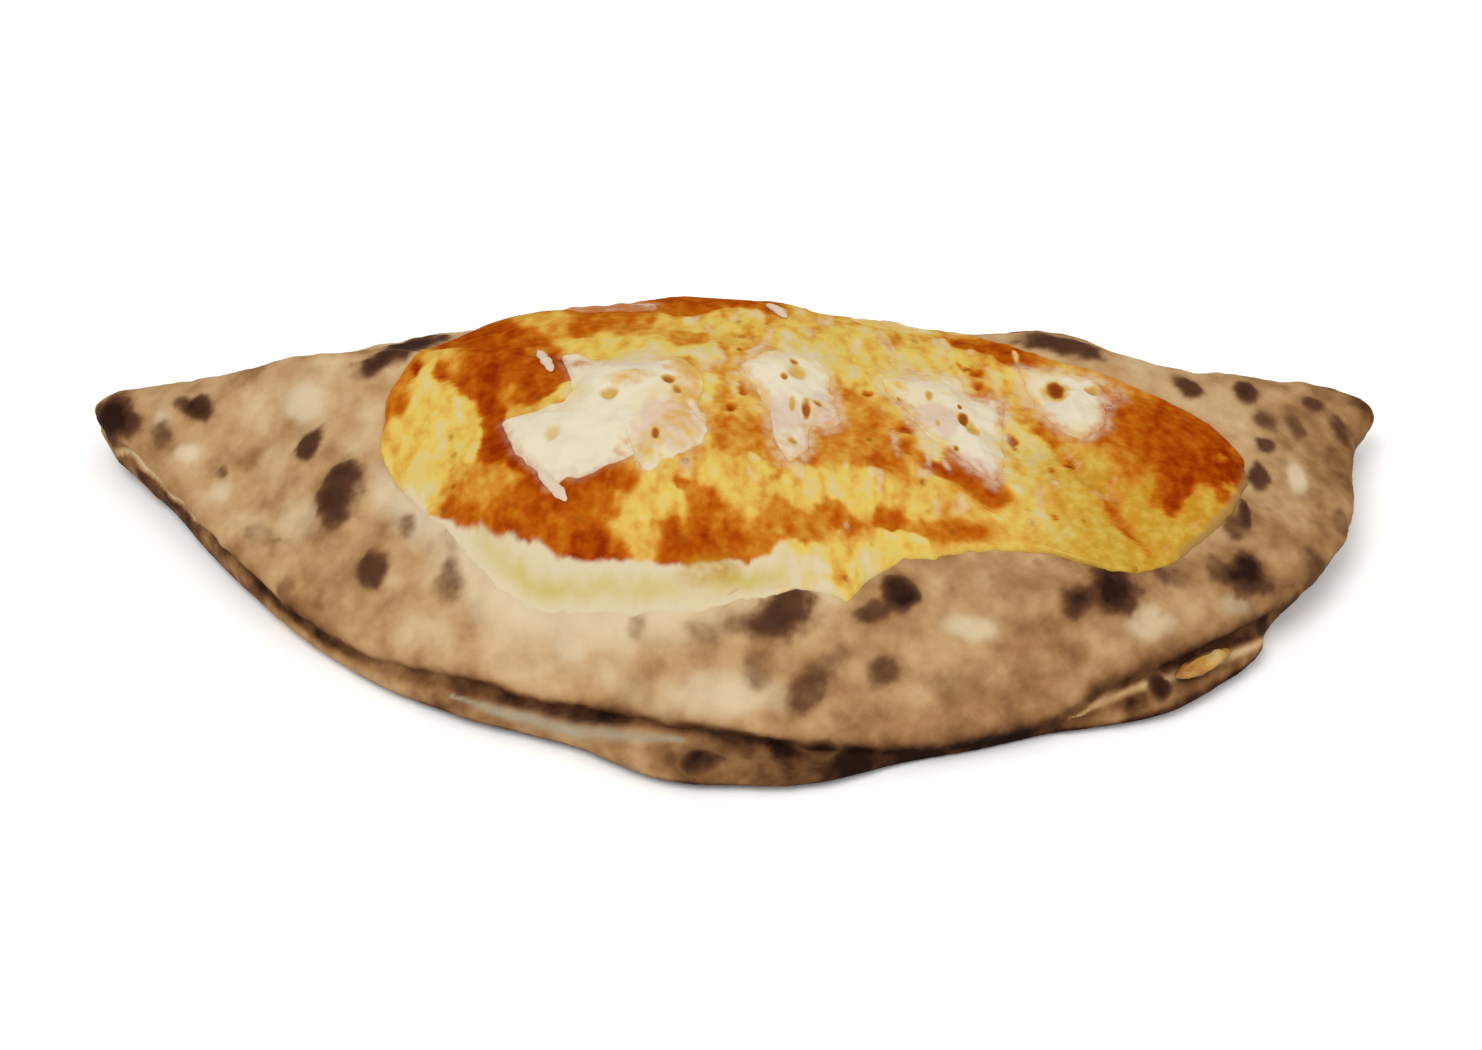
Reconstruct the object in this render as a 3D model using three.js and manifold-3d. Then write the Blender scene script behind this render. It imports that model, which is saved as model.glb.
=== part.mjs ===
// A baked calzone: a disc of pizza dough folded over its filling and sealed along the front, lying on its flat
// base. The fold is the rounded back edge. Along the front the upper layer of dough ends in a rolled edge that laps
// over a projecting lower lip, with a crease between them. Tomato and melted cheese lie over the crown, with
// patches of melted mozzarella on top, and a little cheese has leaked out of the seam at the right.
// Millimetres, +X to the right, +Y to the back, +Z up. It is laid out about the line between its two tips, and the
// group at the end puts the origin under the middle of the bounding box.
import * as THREE from "three";
import { SimplexNoise } from "three/addons/math/SimplexNoise.js";
import { mergeVertices } from "three/addons/utils/BufferGeometryUtils.js";
import Module from "manifold-3d";

// Driving dimensions of the dough.
const LENGTH = 300; // from tip to tip
const FRONT_REACH = 106; // from the line between the tips to the upper layer's front edge
const BACK_REACH = 31; // from that line to the back of the fold
const CROWN_HEIGHT = 47;
const RIGHT_SAG = 9; // how much lower the crown is towards the right tip
const EDGE_THICKNESS = 6.5; // the rolled edge of the upper layer
const CREASE_DEPTH = 5;
const FOLD_HEIGHT = 17; // height of the fold's furthest-back line at mid length
const LEFT_TIP_HEIGHT = 8.5; // the same line at the left tip
const RIGHT_TIP_HEIGHT = 10;
const TIP_CURL = 3; // how far the left tip has curled up off the base
const CROWN = [-10, -30]; // where the crown is highest
const SHOULDER_INSET = 3.5; // from the upper layer's edge in to where its dome starts
const SEAM_END = 2; // how far back the seam still runs at the tips
const FOLD_START = 14; // from how far back the edge is the fold
const BROAD_RELIEF = 1.4; // height of the dough's unevenness
const SMALL_RELIEF = 0.4;

// Driving dimensions of the toppings.
const SAUCE_THICKNESS = 2.6;
const SAUCE_EDGE = 1.5;
const SAUCE_ROLL = 2.5; // how much thicker it is where it has bunched up at the right end
const ROLL_CENTRE = [106, -34];
const ROLL_RADIUS = 15;
const MOZZARELLA_THICKNESS = 2.4;
const MOZZARELLA_EDGE = 1.1;
const SHRED_WIDTH = 2.6;
const GAP = 0.3; // between touching pieces

// Number of divisions.
const DOUGH_AROUND = 100;
const CROWN_RINGS = 15;
const BASE_RINGS = 3;
const SAUCE_AROUND = 76;
const SAUCE_RINGS = 11;
const MOZZARELLA_RINGS = 4;

const HALF = LENGTH / 2;
const TURN = 2 * Math.PI;
const { clamp, lerp, smoothstep } = THREE.MathUtils;
const wasm = await Module();
wasm.setup();

// A repeatable random generator for the noise.
function seededRandom(seed) {
  let state = seed;
  return () => {
    state = (state * 16807) % 2147483647;
    return state / 2147483647;
  };
}
const noise = new SimplexNoise({ random: seededRandom(91) });

// An outline seen from above: a closed curve through points given anticlockwise, met once by each ray from its
// centre. Its spokes run from the centre to evenly spaced points of the curve.
class Outline {
  constructor(points, centre, count) {
    const corners = points.map(([x, y]) => new THREE.Vector3(x, y, 0));
    const curve = new THREE.CatmullRomCurve3(corners, true, "centripetal");
    this.centre = centre;
    this.count = count;
    this.spokes = curve.getSpacedPoints(count).map(({ x, y }) => {
      const [dx, dy] = [x - centre[0], y - centre[1]];
      const radius = Math.hypot(dx, dy);
      return { x, y, radius, angle: Math.atan2(dy, dx), dx: dx / radius, dy: dy / radius };
    });
  }

  // The spoke just before a plan point, and the point's share of the turn to the next spoke.
  locate(x, y) {
    const angle = Math.atan2(y - this.centre[1], x - this.centre[0]);
    for (let i = 0; i < this.count; i++) {
      const span = (this.spokes[i + 1].angle - this.spokes[i].angle + TURN) % TURN;
      const turn = (angle - this.spokes[i].angle + TURN) % TURN;
      if (turn <= span) return { i, t: turn / span, angle };
    }
    return { i: 0, t: 0, angle };
  }

  // A plan point's distance from the centre, as a share of the outline's radius there less an inset.
  share(x, y, inset = 0) {
    const { i, t } = this.locate(x, y);
    const radius = lerp(this.spokes[i].radius, this.spokes[i + 1].radius, t) - inset;
    return Math.hypot(x - this.centre[0], y - this.centre[1]) / radius;
  }

  // A plan point's distance from the nearest part of the outline.
  inset(x, y) {
    const point = new THREE.Vector3(x, y, 0);
    const side = new THREE.Line3();
    const nearest = new THREE.Vector3();
    const distances = this.spokes.slice(1).map((end, i) => {
      side.start.set(this.spokes[i].x, this.spokes[i].y, 0);
      side.end.set(end.x, end.y, 0);
      return side.closestPointToPoint(point, true, nearest).distanceTo(point);
    });
    return Math.min(...distances);
  }

  // The plan point at a distance along a spoke.
  at(i, distance) {
    return [this.centre[0] + this.spokes[i].dx * distance, this.centre[1] + this.spokes[i].dy * distance];
  }
}

// The upper layer's edge from the left tip round the front, as shares of the half length and of the reaches.
const RIM_SHARES = [
  [-1.0, 0.46],
  [-1.015, 0.3],
  [-0.985, 0.06],
  [-0.88, -0.16],
  [-0.76, -0.4],
  [-0.61, -0.625],
  [-0.39, -0.81],
  [-0.14, -0.93],
  [0.08, -0.98],
  [0.29, -0.945],
  [0.5, -0.84],
  [0.66, -0.7],
  [0.825, -0.51],
  [0.915, -0.3],
  [0.935, -0.1],
  [0.965, 0.1],
  [1.0, 0.3],
  [0.985, 0.42],
  [0.7, 0.5],
  [0.38, 0.8],
  [0.0, 1.0],
  [-0.4, 0.88],
  [-0.75, 0.42],
];
const rimPoints = RIM_SHARES.map(([along, across]) => [along * HALF, across * (across < 0 ? FRONT_REACH : BACK_REACH)]);
const rim = new Outline(rimPoints, CROWN, DOUGH_AROUND);

// A smooth function of x through [x, value] stations given left to right.
function profile(stations) {
  return (x) => {
    const found = stations.findIndex(([station]) => station > x);
    const right = found < 0 ? stations.length - 1 : Math.max(1, found);
    const [[x0, a], [x1, b]] = stations.slice(right - 1, right + 1);
    return lerp(a, b, smoothstep(x, x0, x1));
  };
}

// The lower lip by its place along the front: how far it stands out in front of the upper layer's edge, and its
// thickness. The upper layer covers it right of the middle.
const lipReach = profile([
  [-105, -0.4],
  [-57, 2.8],
  [-38, 2.2],
  [-13, 8.4],
  [3, 6.2],
  [40, -1.1],
  [66, -1.3],
  [87, 6.8],
  [104, 5.8],
  [121, -3],
]);
const lipThickness = profile([
  [-140, 7.6],
  [-108, 8.4],
  [-92, 6],
  [-76, 6],
  [-60, 8.8],
  [-22, 9],
  [-4, 8.2],
  [14, 5.6],
  [42, 2.6],
  [66, 2.6],
  [86, 7.2],
  [104, 7.6],
]);

// 1 where the edge is the front seam, 0 where it is the fold.
const seamShare = (y) => 1 - smoothstep(y, SEAM_END, FOLD_START);

// How far the dough's left tip is lifted.
const curl = (x) => TIP_CURL * smoothstep(-x, 122, 152);

// The edge's cross-section as [outward from the rim, height] pairs, from the crown's shoulder down to the base.
function seamSection(x) {
  const lip = lipReach(x);
  const thickness = lipThickness(x);
  return [
    [-SHOULDER_INSET, thickness + EDGE_THICKNESS],
    [-0.9, thickness + 0.75 * EDGE_THICKNESS],
    [0, thickness + 0.4 * EDGE_THICKNESS],
    [-0.8, thickness + 0.12 * EDGE_THICKNESS],
    [-CREASE_DEPTH, thickness - 0.2],
    [-1.6, thickness - 0.6],
    [0.55 * lip, thickness - 0.7],
    [0.92 * lip, 0.78 * thickness],
    [lip, 0.45 * thickness],
    [lip - 1.2, 0.14 * thickness],
    [lip - 4.5, 0],
  ];
}
function foldSection(x) {
  const tipHeight = x < 0 ? LEFT_TIP_HEIGHT : RIGHT_TIP_HEIGHT;
  const height = lerp(FOLD_HEIGHT, tipHeight, Math.abs(x / HALF) ** 1.4);
  return [
    [-SHOULDER_INSET, 1.5 * height],
    [-1.3, 1.28 * height],
    [-0.3, 1.12 * height],
    [0, 0.96 * height],
    [-0.2, 0.8 * height],
    [-0.9, 0.62 * height],
    [-2, 0.45 * height],
    [-3.4, 0.3 * height],
    [-5.2, 0.17 * height],
    [-7.6, 0.07 * height],
    [-11, 0],
  ];
}
const edgeSections = rim.spokes.map(({ x, y }) => {
  const seam = seamSection(x);
  const share = seamShare(y);
  return foldSection(x).map(([out, height], k) => [lerp(out, seam[k][0], share), lerp(height, seam[k][1], share)]);
});
const EDGE_RINGS = edgeSections[0].length;

// Swellings and scorched bubbles that stand up from the dough: [x, y, radius, height].
const BLISTERS = [
  [-122, -8, 7, 0.9],
  [-95, -29, 6, 1.1],
  [-86, -42, 8, 1.3],
  [-79, -61, 6, 0.9],
  [-60, -73, 7, 0.7],
  [-86, 7, 15, 4],
  [-48, 4, 16, 1.6],
  [7, -90, 8, 1.1],
  [30, -85, 7, 1.2],
  [20, -97, 9, 0.8],
  [75, -73, 10, 1.4],
  [108, -55, 9, 1.2],
  [101, 0, 8, 1.0],
  [118, -14, 8, 1.0],
  [137, 0, 7, 0.9],
  [-20, 22, 10, 1.2],
  [76, 11, 17, 9],
];

// Uneven lumps over the dough.
function doughRelief(x, y) {
  const broad = BROAD_RELIEF * noise.noise(x / 52, y / 38);
  const small = SMALL_RELIEF * noise.noise(x / 19 + 40, y / 19);
  const blisters = BLISTERS.reduce((sum, [bx, by, radius, height]) => {
    return sum + height * Math.exp(-(((x - bx) / radius) ** 2) - ((y - by) / radius) ** 2);
  }, 0);
  return broad + small + blisters;
}

// The height of the dough's upper surface over a plan point. The dome is flatter on top and steeper at its edge
// towards the front and the fold than it is towards the tips.
function doughTop(x, y) {
  const { i, t, angle } = rim.locate(x, y);
  const edgeHeight = lerp(edgeSections[i][0][1], edgeSections[i + 1][0][1], t);
  const share = clamp(rim.share(x, y, SHOULDER_INSET), 0, 1);
  const along = Math.abs(Math.cos(angle));
  const left = Math.max(0, -Math.cos(angle));
  const back = Math.max(0, Math.sin(angle));
  const flatness = 2.5 - 0.55 * along ** 3;
  const roundness = 0.78 - 0.14 * back + 0.15 * along ** 4 + 0.16 * left ** 4;
  const dome = (1 - share ** flatness) ** roundness;
  const peak = CROWN_HEIGHT - RIGHT_SAG * smoothstep(x, -25, 85);
  return lerp(edgeHeight, peak, dome) + doughRelief(x, y) * smoothstep(1 - share, 0, 0.16) + curl(x);
}

// A closed skin made from a sphere: place(spoke, ring) gives each vertex, with spoke running once round
// anticlockwise and ring from 0 at the top to rings at the bottom.
function shapedSphere(around, rings, place) {
  const sphere = new THREE.SphereGeometry(1, around, rings);
  const { position } = sphere.attributes;
  for (let k = 0; k < position.count; k++) {
    position.setXYZ(k, ...place((k % (around + 1)) % around, Math.floor(k / (around + 1))));
  }
  return sphere;
}

// three.js geometry to a manifold-3d solid, and a solid back to a mesh.
function solidOf(geometry) {
  geometry.deleteAttribute("normal");
  geometry.deleteAttribute("uv");
  const { attributes, index } = mergeVertices(geometry, 1e-4);
  const vertProperties = attributes.position.array;
  return new wasm.Manifold(new wasm.Mesh({ numProp: 3, vertProperties, triVerts: Uint32Array.from(index.array) }));
}
function meshOf(name, solid, material) {
  const { vertProperties, triVerts } = solid.getMesh();
  const geometry = new THREE.BufferGeometry()
    .setAttribute("position", new THREE.BufferAttribute(vertProperties, 3))
    .setIndex(new THREE.BufferAttribute(triVerts, 1));
  geometry.computeVertexNormals();
  const mesh = new THREE.Mesh(geometry, material);
  mesh.name = name;
  return mesh;
}

// What is left of a solid that lies on or between others, cut to their shape with the gap between them. Scraps
// are dropped.
const CLEARANCES = [
  [0, 0, GAP],
  [0, 0, -GAP],
  [0, -GAP, 0],
  [GAP, 0, 0],
  [-GAP, 0, 0],
];
function restOn(solid, supports) {
  const cutters = supports.flatMap((support) => CLEARANCES.map((shift) => support.translate(shift)));
  const cut = cutters.reduce((left, cutter) => left.subtract(cutter), solid);
  return cut.decompose().reduce((best, body) => (body.volume() > best.volume() ? body : best));
}

// The dough, from the crown down over the edge to the flat base.
function makeDough() {
  const rings = CROWN_RINGS + EDGE_RINGS + BASE_RINGS - 1;
  const geometry = shapedSphere(DOUGH_AROUND, rings, (spoke, ring) => {
    const section = edgeSections[spoke];
    const { radius } = rim.spokes[spoke];
    if (ring < CROWN_RINGS) {
      const [x, y] = rim.at(spoke, (radius - SHOULDER_INSET) * (ring / CROWN_RINGS) ** 0.85);
      return [x, y, doughTop(x, y)];
    }
    const step = ring - CROWN_RINGS;
    const [outward, height] = section[Math.min(step, EDGE_RINGS - 1)];
    const inward = Math.max(0, step - EDGE_RINGS + 1) / BASE_RINGS;
    const [x, y] = rim.at(spoke, (radius + outward) * (1 - inward));
    return [x, y, height + curl(x)];
  });
  return solidOf(geometry);
}

// A soft layer that has spread over what is under it. Its thickness is a function of a plan point and of how far
// in from the layer's uneven outline that is.
class Layer {
  constructor({ points, centre, around, rings, under, thickness }) {
    Object.assign(this, { rings, under, thickness });
    this.outline = new Outline(points, centre, around);
  }

  top(x, y) {
    return this.under(x, y) + this.thickness(x, y, this.outline.inset(x, y));
  }

  // The layer as a solid whose underside reaches down into its supports, joined with any others and then cut to
  // rest on the supports.
  solid(supports, others = []) {
    const { outline, rings, under, thickness } = this;
    const geometry = shapedSphere(outline.count, rings + 2, (spoke, ring) => {
      if (ring === rings + 2) return [...outline.centre, under(...outline.centre) - 3];
      const inset = ring < rings ? 0.5 * (ring / rings) : 0;
      const share = Math.min(ring / rings, 1) ** 0.8;
      const [x, y] = outline.at(spoke, outline.spokes[spoke].radius * share - inset);
      if (ring < rings) return [x, y, this.top(x, y)];
      return [x, y, under(x, y) + (ring === rings ? 0.55 * thickness(x, y, 0) : -1.5)];
    });
    return restOn(others.reduce((joined, other) => joined.add(other), solidOf(geometry)), supports);
  }
}

// A grated strip of cheese lying on a surface, from one plan point to another.
function makeShred(from, to, surface) {
  const path = [0, 0.33, 0.67, 1].map((t) => {
    const [x, y] = [lerp(from[0], to[0], t), lerp(from[1], to[1], t)];
    return new THREE.Vector3(x, y, surface(x, y) + 0.25 * SHRED_WIDTH);
  });
  const section = new THREE.Shape().absellipse(0, 0, 0.45 * SHRED_WIDTH, 0.5 * SHRED_WIDTH, 0, TURN);
  const extrudePath = new THREE.CatmullRomCurve3(path);
  return solidOf(new THREE.ExtrudeGeometry(section, { steps: 6, curveSegments: 4, extrudePath }));
}

const doughMaterial = new THREE.MeshStandardMaterial({ color: 0xcdaa80, roughness: 0.85 });
const sauceMaterial = new THREE.MeshStandardMaterial({ color: 0xd1832f, roughness: 0.35 });
const mozzarellaMaterial = new THREE.MeshStandardMaterial({ color: 0xe8dfca, roughness: 0.4 });
const leakMaterial = new THREE.MeshStandardMaterial({ color: 0xd9a53a, roughness: 0.4 });

// Tomato and melted cheese over the crown, bunched up at the right end, with one drip at the front and two loose
// shreds of cheese.
const dough = makeDough();
const sauceLayer = new Layer({
  points: [
    [-61, 4],
    [-69, -2],
    [-74, -12],
    [-79, -21],
    [-79, -35],
    [-75, -43],
    [-68, -53],
    [-61, -62],
    [-55, -71],
    [-47, -78],
    [-28, -84],
    [-6, -86],
    [10, -83.5],
    [16, -82],
    [19, -84.5],
    [22, -82.5],
    [26, -78],
    [38, -70],
    [56, -64],
    [66, -63],
    [80, -66],
    [96, -56],
    [110, -38],
    [113, -24],
    [104, -12.5],
    [88, -7],
    [70, -2.5],
    [58, 6],
    [48, 14],
    [20, 18],
    [-8, 18],
    [-35, 14],
  ],
  centre: [12, -36],
  around: SAUCE_AROUND,
  rings: SAUCE_RINGS,
  under: doughTop,
  thickness: (x, y, inset) => {
    const full = SAUCE_THICKNESS + 0.5 * noise.noise(x / 22, y / 18 + 20);
    const distance = Math.hypot(x - ROLL_CENTRE[0], y - ROLL_CENTRE[1]);
    const roll = SAUCE_ROLL * Math.exp(-((distance / ROLL_RADIUS) ** 2));
    return lerp(SAUCE_EDGE, full, smoothstep(inset, 0, 7)) + roll;
  },
});
const sauceTop = (x, y) => sauceLayer.top(x, y);
const looseShreds = [makeShred([-45, -14], [-41, -25], sauceTop), makeShred([6, -1], [12, -7], sauceTop)];
const sauce = sauceLayer.solid([dough], looseShreds);

// The patches of melted mozzarella: where each is, its number of divisions, and its outline about that place.
const MOZZARELLA = {
  left: {
    centre: [-27, -40],
    around: 44,
    points: [
      [-25, 3],
      [-24, 0.5],
      [-22, -5],
      [-19, -10],
      [-16, -15],
      [-13, -17.5],
      [-8, -17.5],
      [-3, -16],
      [2, -14.5],
      [4.5, -14.5],
      [7, -20],
      [9, -17],
      [15, -15.5],
      [19, -12],
      [20, -6],
      [18, 1],
      [19, 7],
      [17, 14],
      [12, 18],
      [3, 18],
      [-5, 19],
      [-9, 24],
      [-12.5, 23.5],
      [-11, 16],
      [-10, 10],
      [-12, 6],
      [-16, 3.4],
      [-20, 3.2],
    ],
    shreds: [
      [
        [-42, -53],
        [-36.5, -63],
      ],
    ],
  },
  middle: {
    centre: [11, -32],
    around: 30,
    points: [
      [-11, 8],
      [-8, 1],
      [-5, -6],
      [-4, -15],
      [-1, -22],
      [3, -18],
      [4, -9],
      [10, -8],
      [9, 2],
      [8, 10],
      [4, 15],
      [-5, 15],
    ],
  },
  right: {
    centre: [46, -30],
    around: 30,
    points: [
      [-15, 8],
      [-10, -2],
      [-5, -10],
      [3, -16],
      [9, -19],
      [11, -6],
      [12, 10],
      [6, 9],
      [1, 16],
      [-9, 13],
    ],
  },
  far_right: {
    centre: [74, -16],
    around: 28,
    points: [
      [-12, 8],
      [-9, 0],
      [-6, -9],
      [1, -14],
      [6, -9.5],
      [8, -2],
      [12, 5],
      [7, 8],
      [0, 8],
      [-6, 7.5],
    ],
  },
  back_left: {
    centre: [-30, 8],
    around: 22,
    points: [
      [-12, 2],
      [-8, -4],
      [2, -5],
      [11, -3],
      [9, 3],
      [2, 6],
      [-6, 5],
    ],
  },
  back_right: {
    centre: [34, 8.5],
    around: 22,
    points: [
      [-9, 0],
      [-5, -4],
      [4, -4],
      [10, -2],
      [7, 3],
      [0, 5],
      [-6, 4],
    ],
  },
};
const mozzarella = Object.entries(MOZZARELLA).map(([name, { centre, around, points, shreds = [] }]) => {
  const layer = new Layer({
    points: points.map(([x, y]) => [centre[0] + x, centre[1] + y]),
    centre,
    around,
    rings: MOZZARELLA_RINGS,
    under: sauceTop,
    thickness: (x, y, inset) => {
      const full = MOZZARELLA_THICKNESS + 0.4 * noise.noise(x / 6, y / 6 + 60);
      return lerp(MOZZARELLA_EDGE, full, smoothstep(inset, 0, 4));
    },
  });
  const strips = shreds.map(([from, to]) => makeShred(from, to, sauceTop));
  return meshOf(`mozzarella_${name}`, layer.solid([sauce], strips), mozzarellaMaterial);
});

// Cheese that has run out of the seam and set on the lip.
function makeLeak() {
  const blob = new THREE.SphereGeometry(1, 18, 10);
  blob.scale(9, 3.4, 2.4);
  blob.rotateZ(THREE.MathUtils.degToRad(36));
  blob.translate(98, -77, lipThickness(98) + 0.4);
  return restOn(solidOf(blob), [dough]);
}

const calzone = new THREE.Group();
calzone.add(meshOf("crust", dough, doughMaterial));
calzone.add(meshOf("tomato_and_cheese", sauce, sauceMaterial));
calzone.add(...mozzarella);
calzone.add(meshOf("leaked_cheese", makeLeak(), leakMaterial));

const box = new THREE.Box3().setFromObject(calzone);
const middle = box.getCenter(new THREE.Vector3());
calzone.position.set(-middle.x, -middle.y, -box.min.z);

export default calzone;
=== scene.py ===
"""A baked calzone: folded dough with a scorched crust, under tomato, melted cheese and mozzarella patches.

Lengths in the tables are millimetres, in the part's own frame: X to the right, Y to the back, Z up.
"""

import math
import random

import bmesh
import bpy
import numpy as np
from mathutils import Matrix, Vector, noise
from mathutils.bvhtree import BVHTree
from mathutils.kdtree import KDTree


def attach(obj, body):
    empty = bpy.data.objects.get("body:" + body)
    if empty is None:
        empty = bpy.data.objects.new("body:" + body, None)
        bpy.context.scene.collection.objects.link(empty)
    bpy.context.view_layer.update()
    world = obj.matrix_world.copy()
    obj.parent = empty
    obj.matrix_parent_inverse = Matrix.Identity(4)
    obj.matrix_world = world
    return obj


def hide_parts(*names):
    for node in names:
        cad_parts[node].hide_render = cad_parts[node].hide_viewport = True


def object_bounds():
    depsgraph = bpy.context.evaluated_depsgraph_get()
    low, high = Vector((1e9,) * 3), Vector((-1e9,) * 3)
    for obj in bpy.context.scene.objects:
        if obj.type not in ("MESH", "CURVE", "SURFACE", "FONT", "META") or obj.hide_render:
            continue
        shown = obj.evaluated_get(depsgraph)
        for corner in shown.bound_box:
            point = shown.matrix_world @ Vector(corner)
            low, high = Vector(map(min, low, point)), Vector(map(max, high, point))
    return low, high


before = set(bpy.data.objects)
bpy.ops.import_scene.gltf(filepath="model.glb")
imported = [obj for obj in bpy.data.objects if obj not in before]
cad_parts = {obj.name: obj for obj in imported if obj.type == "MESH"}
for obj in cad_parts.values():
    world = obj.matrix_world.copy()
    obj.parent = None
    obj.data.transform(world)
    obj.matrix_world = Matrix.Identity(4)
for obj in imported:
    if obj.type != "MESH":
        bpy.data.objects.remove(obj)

CAD_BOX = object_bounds()
MM = 0.001
TURN = 2 * math.pi
TO_BACK, DOWN = Vector((0, 1, 0)), Vector((0, 0, -1))

# The camera: how far it looks down, what it aims at, how far off it stands, its lens and its sensor.
LOOKS_DOWN = math.radians(38)
SLOPE_FRONT, SLOPE_UP = math.sin(LOOKS_DOWN), math.cos(LOOKS_DOWN)
AIM, DISTANCE = Vector((1.4, -2.8, 18)), 634
LENS, SENSOR = 70, 36

# The studio: each lamp's place and width in metres and its power in watts, and the light from all round.
LAMPS = {"key": ((-0.5, -0.62, 1.5), 1.1, 12.0), "fill": ((0.8, -0.8, 1.0), 1.2, 4.5)}
ALL_ROUND = 0.76
FOOD_LIGHT = 1.36  # how brightly the studio lights the food
FLOOR_REACH = 4.0  # half the floor's width, in metres

# Dough.
DOUGH_VOXEL, LEAK_VOXEL = 1.0, 0.45  # width of the faces
ROUNDING = 2  # times the facets are rounded, and the new faces relaxed
SKIN_HEIGHT = 0.16  # of the finest unevenness of the crust
BLISTER_COUNT = 150
BLISTER_WIDTHS, BLISTER_RISES = (2.0, 6.5), (0.06, 0.16)  # each rise is a share of the width
BACK_SCORCHES = 30  # scattered behind
COVER_MARGIN = 2.5  # how far inside the topping's edge the dough is left plain
COVER_SINK = 0.35  # how far it sinks there
CREASE_CARVE = 1.1  # how much deeper the crease is pressed in
EDGE_RISE = 2  # how far over the crease the dough's lower edge lies
TIP_STARTS = (-128.0, 130.0)  # from here on each tip is drawn out to its full length
BOX_GAP = 0.02  # kept free inside the part's own box
TOAST = 0.44  # how far the crust is baked on the whole, from 0 for pale to 1 for burnt

# Topping.
TOPPING_CENTRE, TOPPING_SPOKES, TOPPING_RINGS = (13.4, 3.2), 520, 150
TOPPING_THICKNESS, TOPPING_EDGE = 2.3, 1.3
TOPPING_RAGGED, PATCH_RAGGED = 1.0, 1.1  # how far the outlines run in and out
BUBBLE_COUNT = 520
RIM_ROLL = 2.4  # how much thicker the topping's edge is where it has bunched up
RIM_ROLL_OVAL = (107.4, 5.2, 12.0, 12.0)
FOLD = [(-19, 87.5), (-13.5, 85.1), (-8.4, 82.9), (-4.4, 78.2), (2.2, 72.8)]  # a fold in it: y, x
GOLDEN_SPOT = (-5, -40.4, 6.5, 2.6)  # an oval in the pale margin
PATCH_SPOKES, PATCH_RINGS = 260, 60
PATCH_THICKNESS, PATCH_EDGE = 2.1, 0.32
SUNK = 0.5  # how far each layer's underside sinks into what carries it
TOP_SHARE = 0.9  # of a layer's rings that lie on its upper side
TOPPING_SEED, PATCH_SEED = 101, 200

# Scorch spots on the crust, two of them painted shadow beside the topping's rim: x, y, z, half width along x,
# half length along the slope, turn, darkness.
SCORCH_AND_SHADOW = [
    # left
    (-144.6, 41.5, 16, 6.4, 7, 0, 1), (-138.5, 36.5, 16, 3.6, 4.4, 0, 0.62),
    (-121, 35, 21, 5.8, 4, -20, 0.86), (-127, 38, 21, 3.4, 2.2, -35, 0.6),
    (-131.5, 31, 17, 2.6, 4.6, 20, 0.5), (-115.5, 16.6, 18, 2, 2.4, 0, 0.6),
    (-94, 13, 27, 3.6, 4.8, -35, 0.84), (-86, -2, 26, 5.2, 8.6, -5, 0.84),
    (-70, -15, 28, 2.6, 3.4, 20, 0.46), (-78, -22, 21, 4.2, 4.8, -20, 0.78),
    (-60, -31, 25, 4.4, 5, 25, 0.52), (-60, -24, 28, 2.2, 4.4, 20, 0.32),
    (-103.5, -5.6, 16, 8, 3, -25, 0.42), (-97, -18, 12, 3, 2.8, 0, 0.44), (-88, -24, 11, 5, 2, -25, 0.4),
    (-79, 29.5, 40, 6.4, 3.8, 30, 0.84), (-72, 40, 37, 7, 6, 20, 0.95),
    # front
    (10, -49, 31, 6, 6.2, -10, 0.8), (14, -44, 33, 2.6, 4, 20, 0.4), (1, -50, 29, 4, 3, 0, 0.38),
    (-6, -50, 27, 4.6, 3.4, -25, 0.42), (-20, -47, 26, 2.4, 3.4, 0, 0.38), (34, -40, 29, 4, 4.6, 0, 0.95),
    (29, -44, 28, 5, 2.8, 25, 0.66), (15, -58, 18, 3.8, 4.8, -30, 0.62), (18.5, -55, 21, 4, 3.4, 30, 0.42),
    (22, -53, 23, 3.2, 3, 30, 0.42), (31, -53, 19, 5, 4.2, 0, 0.62), (5, -56, 22, 3.6, 4, 0, 0.42),
    (46, -53, 14, 6, 4, 0, 0.42), (56, -33, 26, 8, 4, 0, 0.36), (60, -45, 16, 5, 4, 0, 0.2),
    (18, -64, 7.5, 3.8, 2.2, 0, 0.95), (-6, -67, 6, 5.2, 2.4, 0, 0.95),
    # right
    (80, -31, 23, 6.4, 5.8, 0, 1), (72, -35, 22, 4, 4, 0, 0.86), (93, -23, 20, 5, 3.2, 0, 0.52),
    (111, -18, 16, 5.2, 5.8, 0, 1), (104, -19, 18, 4.4, 3.6, 0, 0.54), (76, 42, 36, 8, 4.6, -15, 0.84),
    (68, 45, 36, 5, 4, 0, 0.5), (103, 36, 27, 4.4, 3.2, -35, 0.78), (118, 40, 23, 3.4, 3.6, 0, 0.78),
    (122, 33, 20, 3, 5, 0, 0.56), (120, 23, 21, 2.8, 3.6, -20, 0.68), (117, 12, 20, 2.6, 5, -10, 0.74),
    (134, 42, 18, 4.2, 2.8, 0, 0.72), (129, 33, 18, 2.4, 5.6, 10, 0.56), (139, 37, 14, 2.8, 5.8, 15, 0.72),
    # The second and third spots on this row are painted shadow under the topping's bunched-up rim.
    (128, -11, 10, 4, 7, 0, 0.62), (112, -2, 20, 1.6, 5.4, 0, 0.8), (109, -7, 21, 3.4, 3.6, 0, 0.56),
    (135, 5, 13, 2.6, 5, 0, 0.5), (121, -18, 8, 5, 3, 20, 0.86), (90, -44, 6, 2.8, 2.8, 0, 0.92),
]
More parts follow.
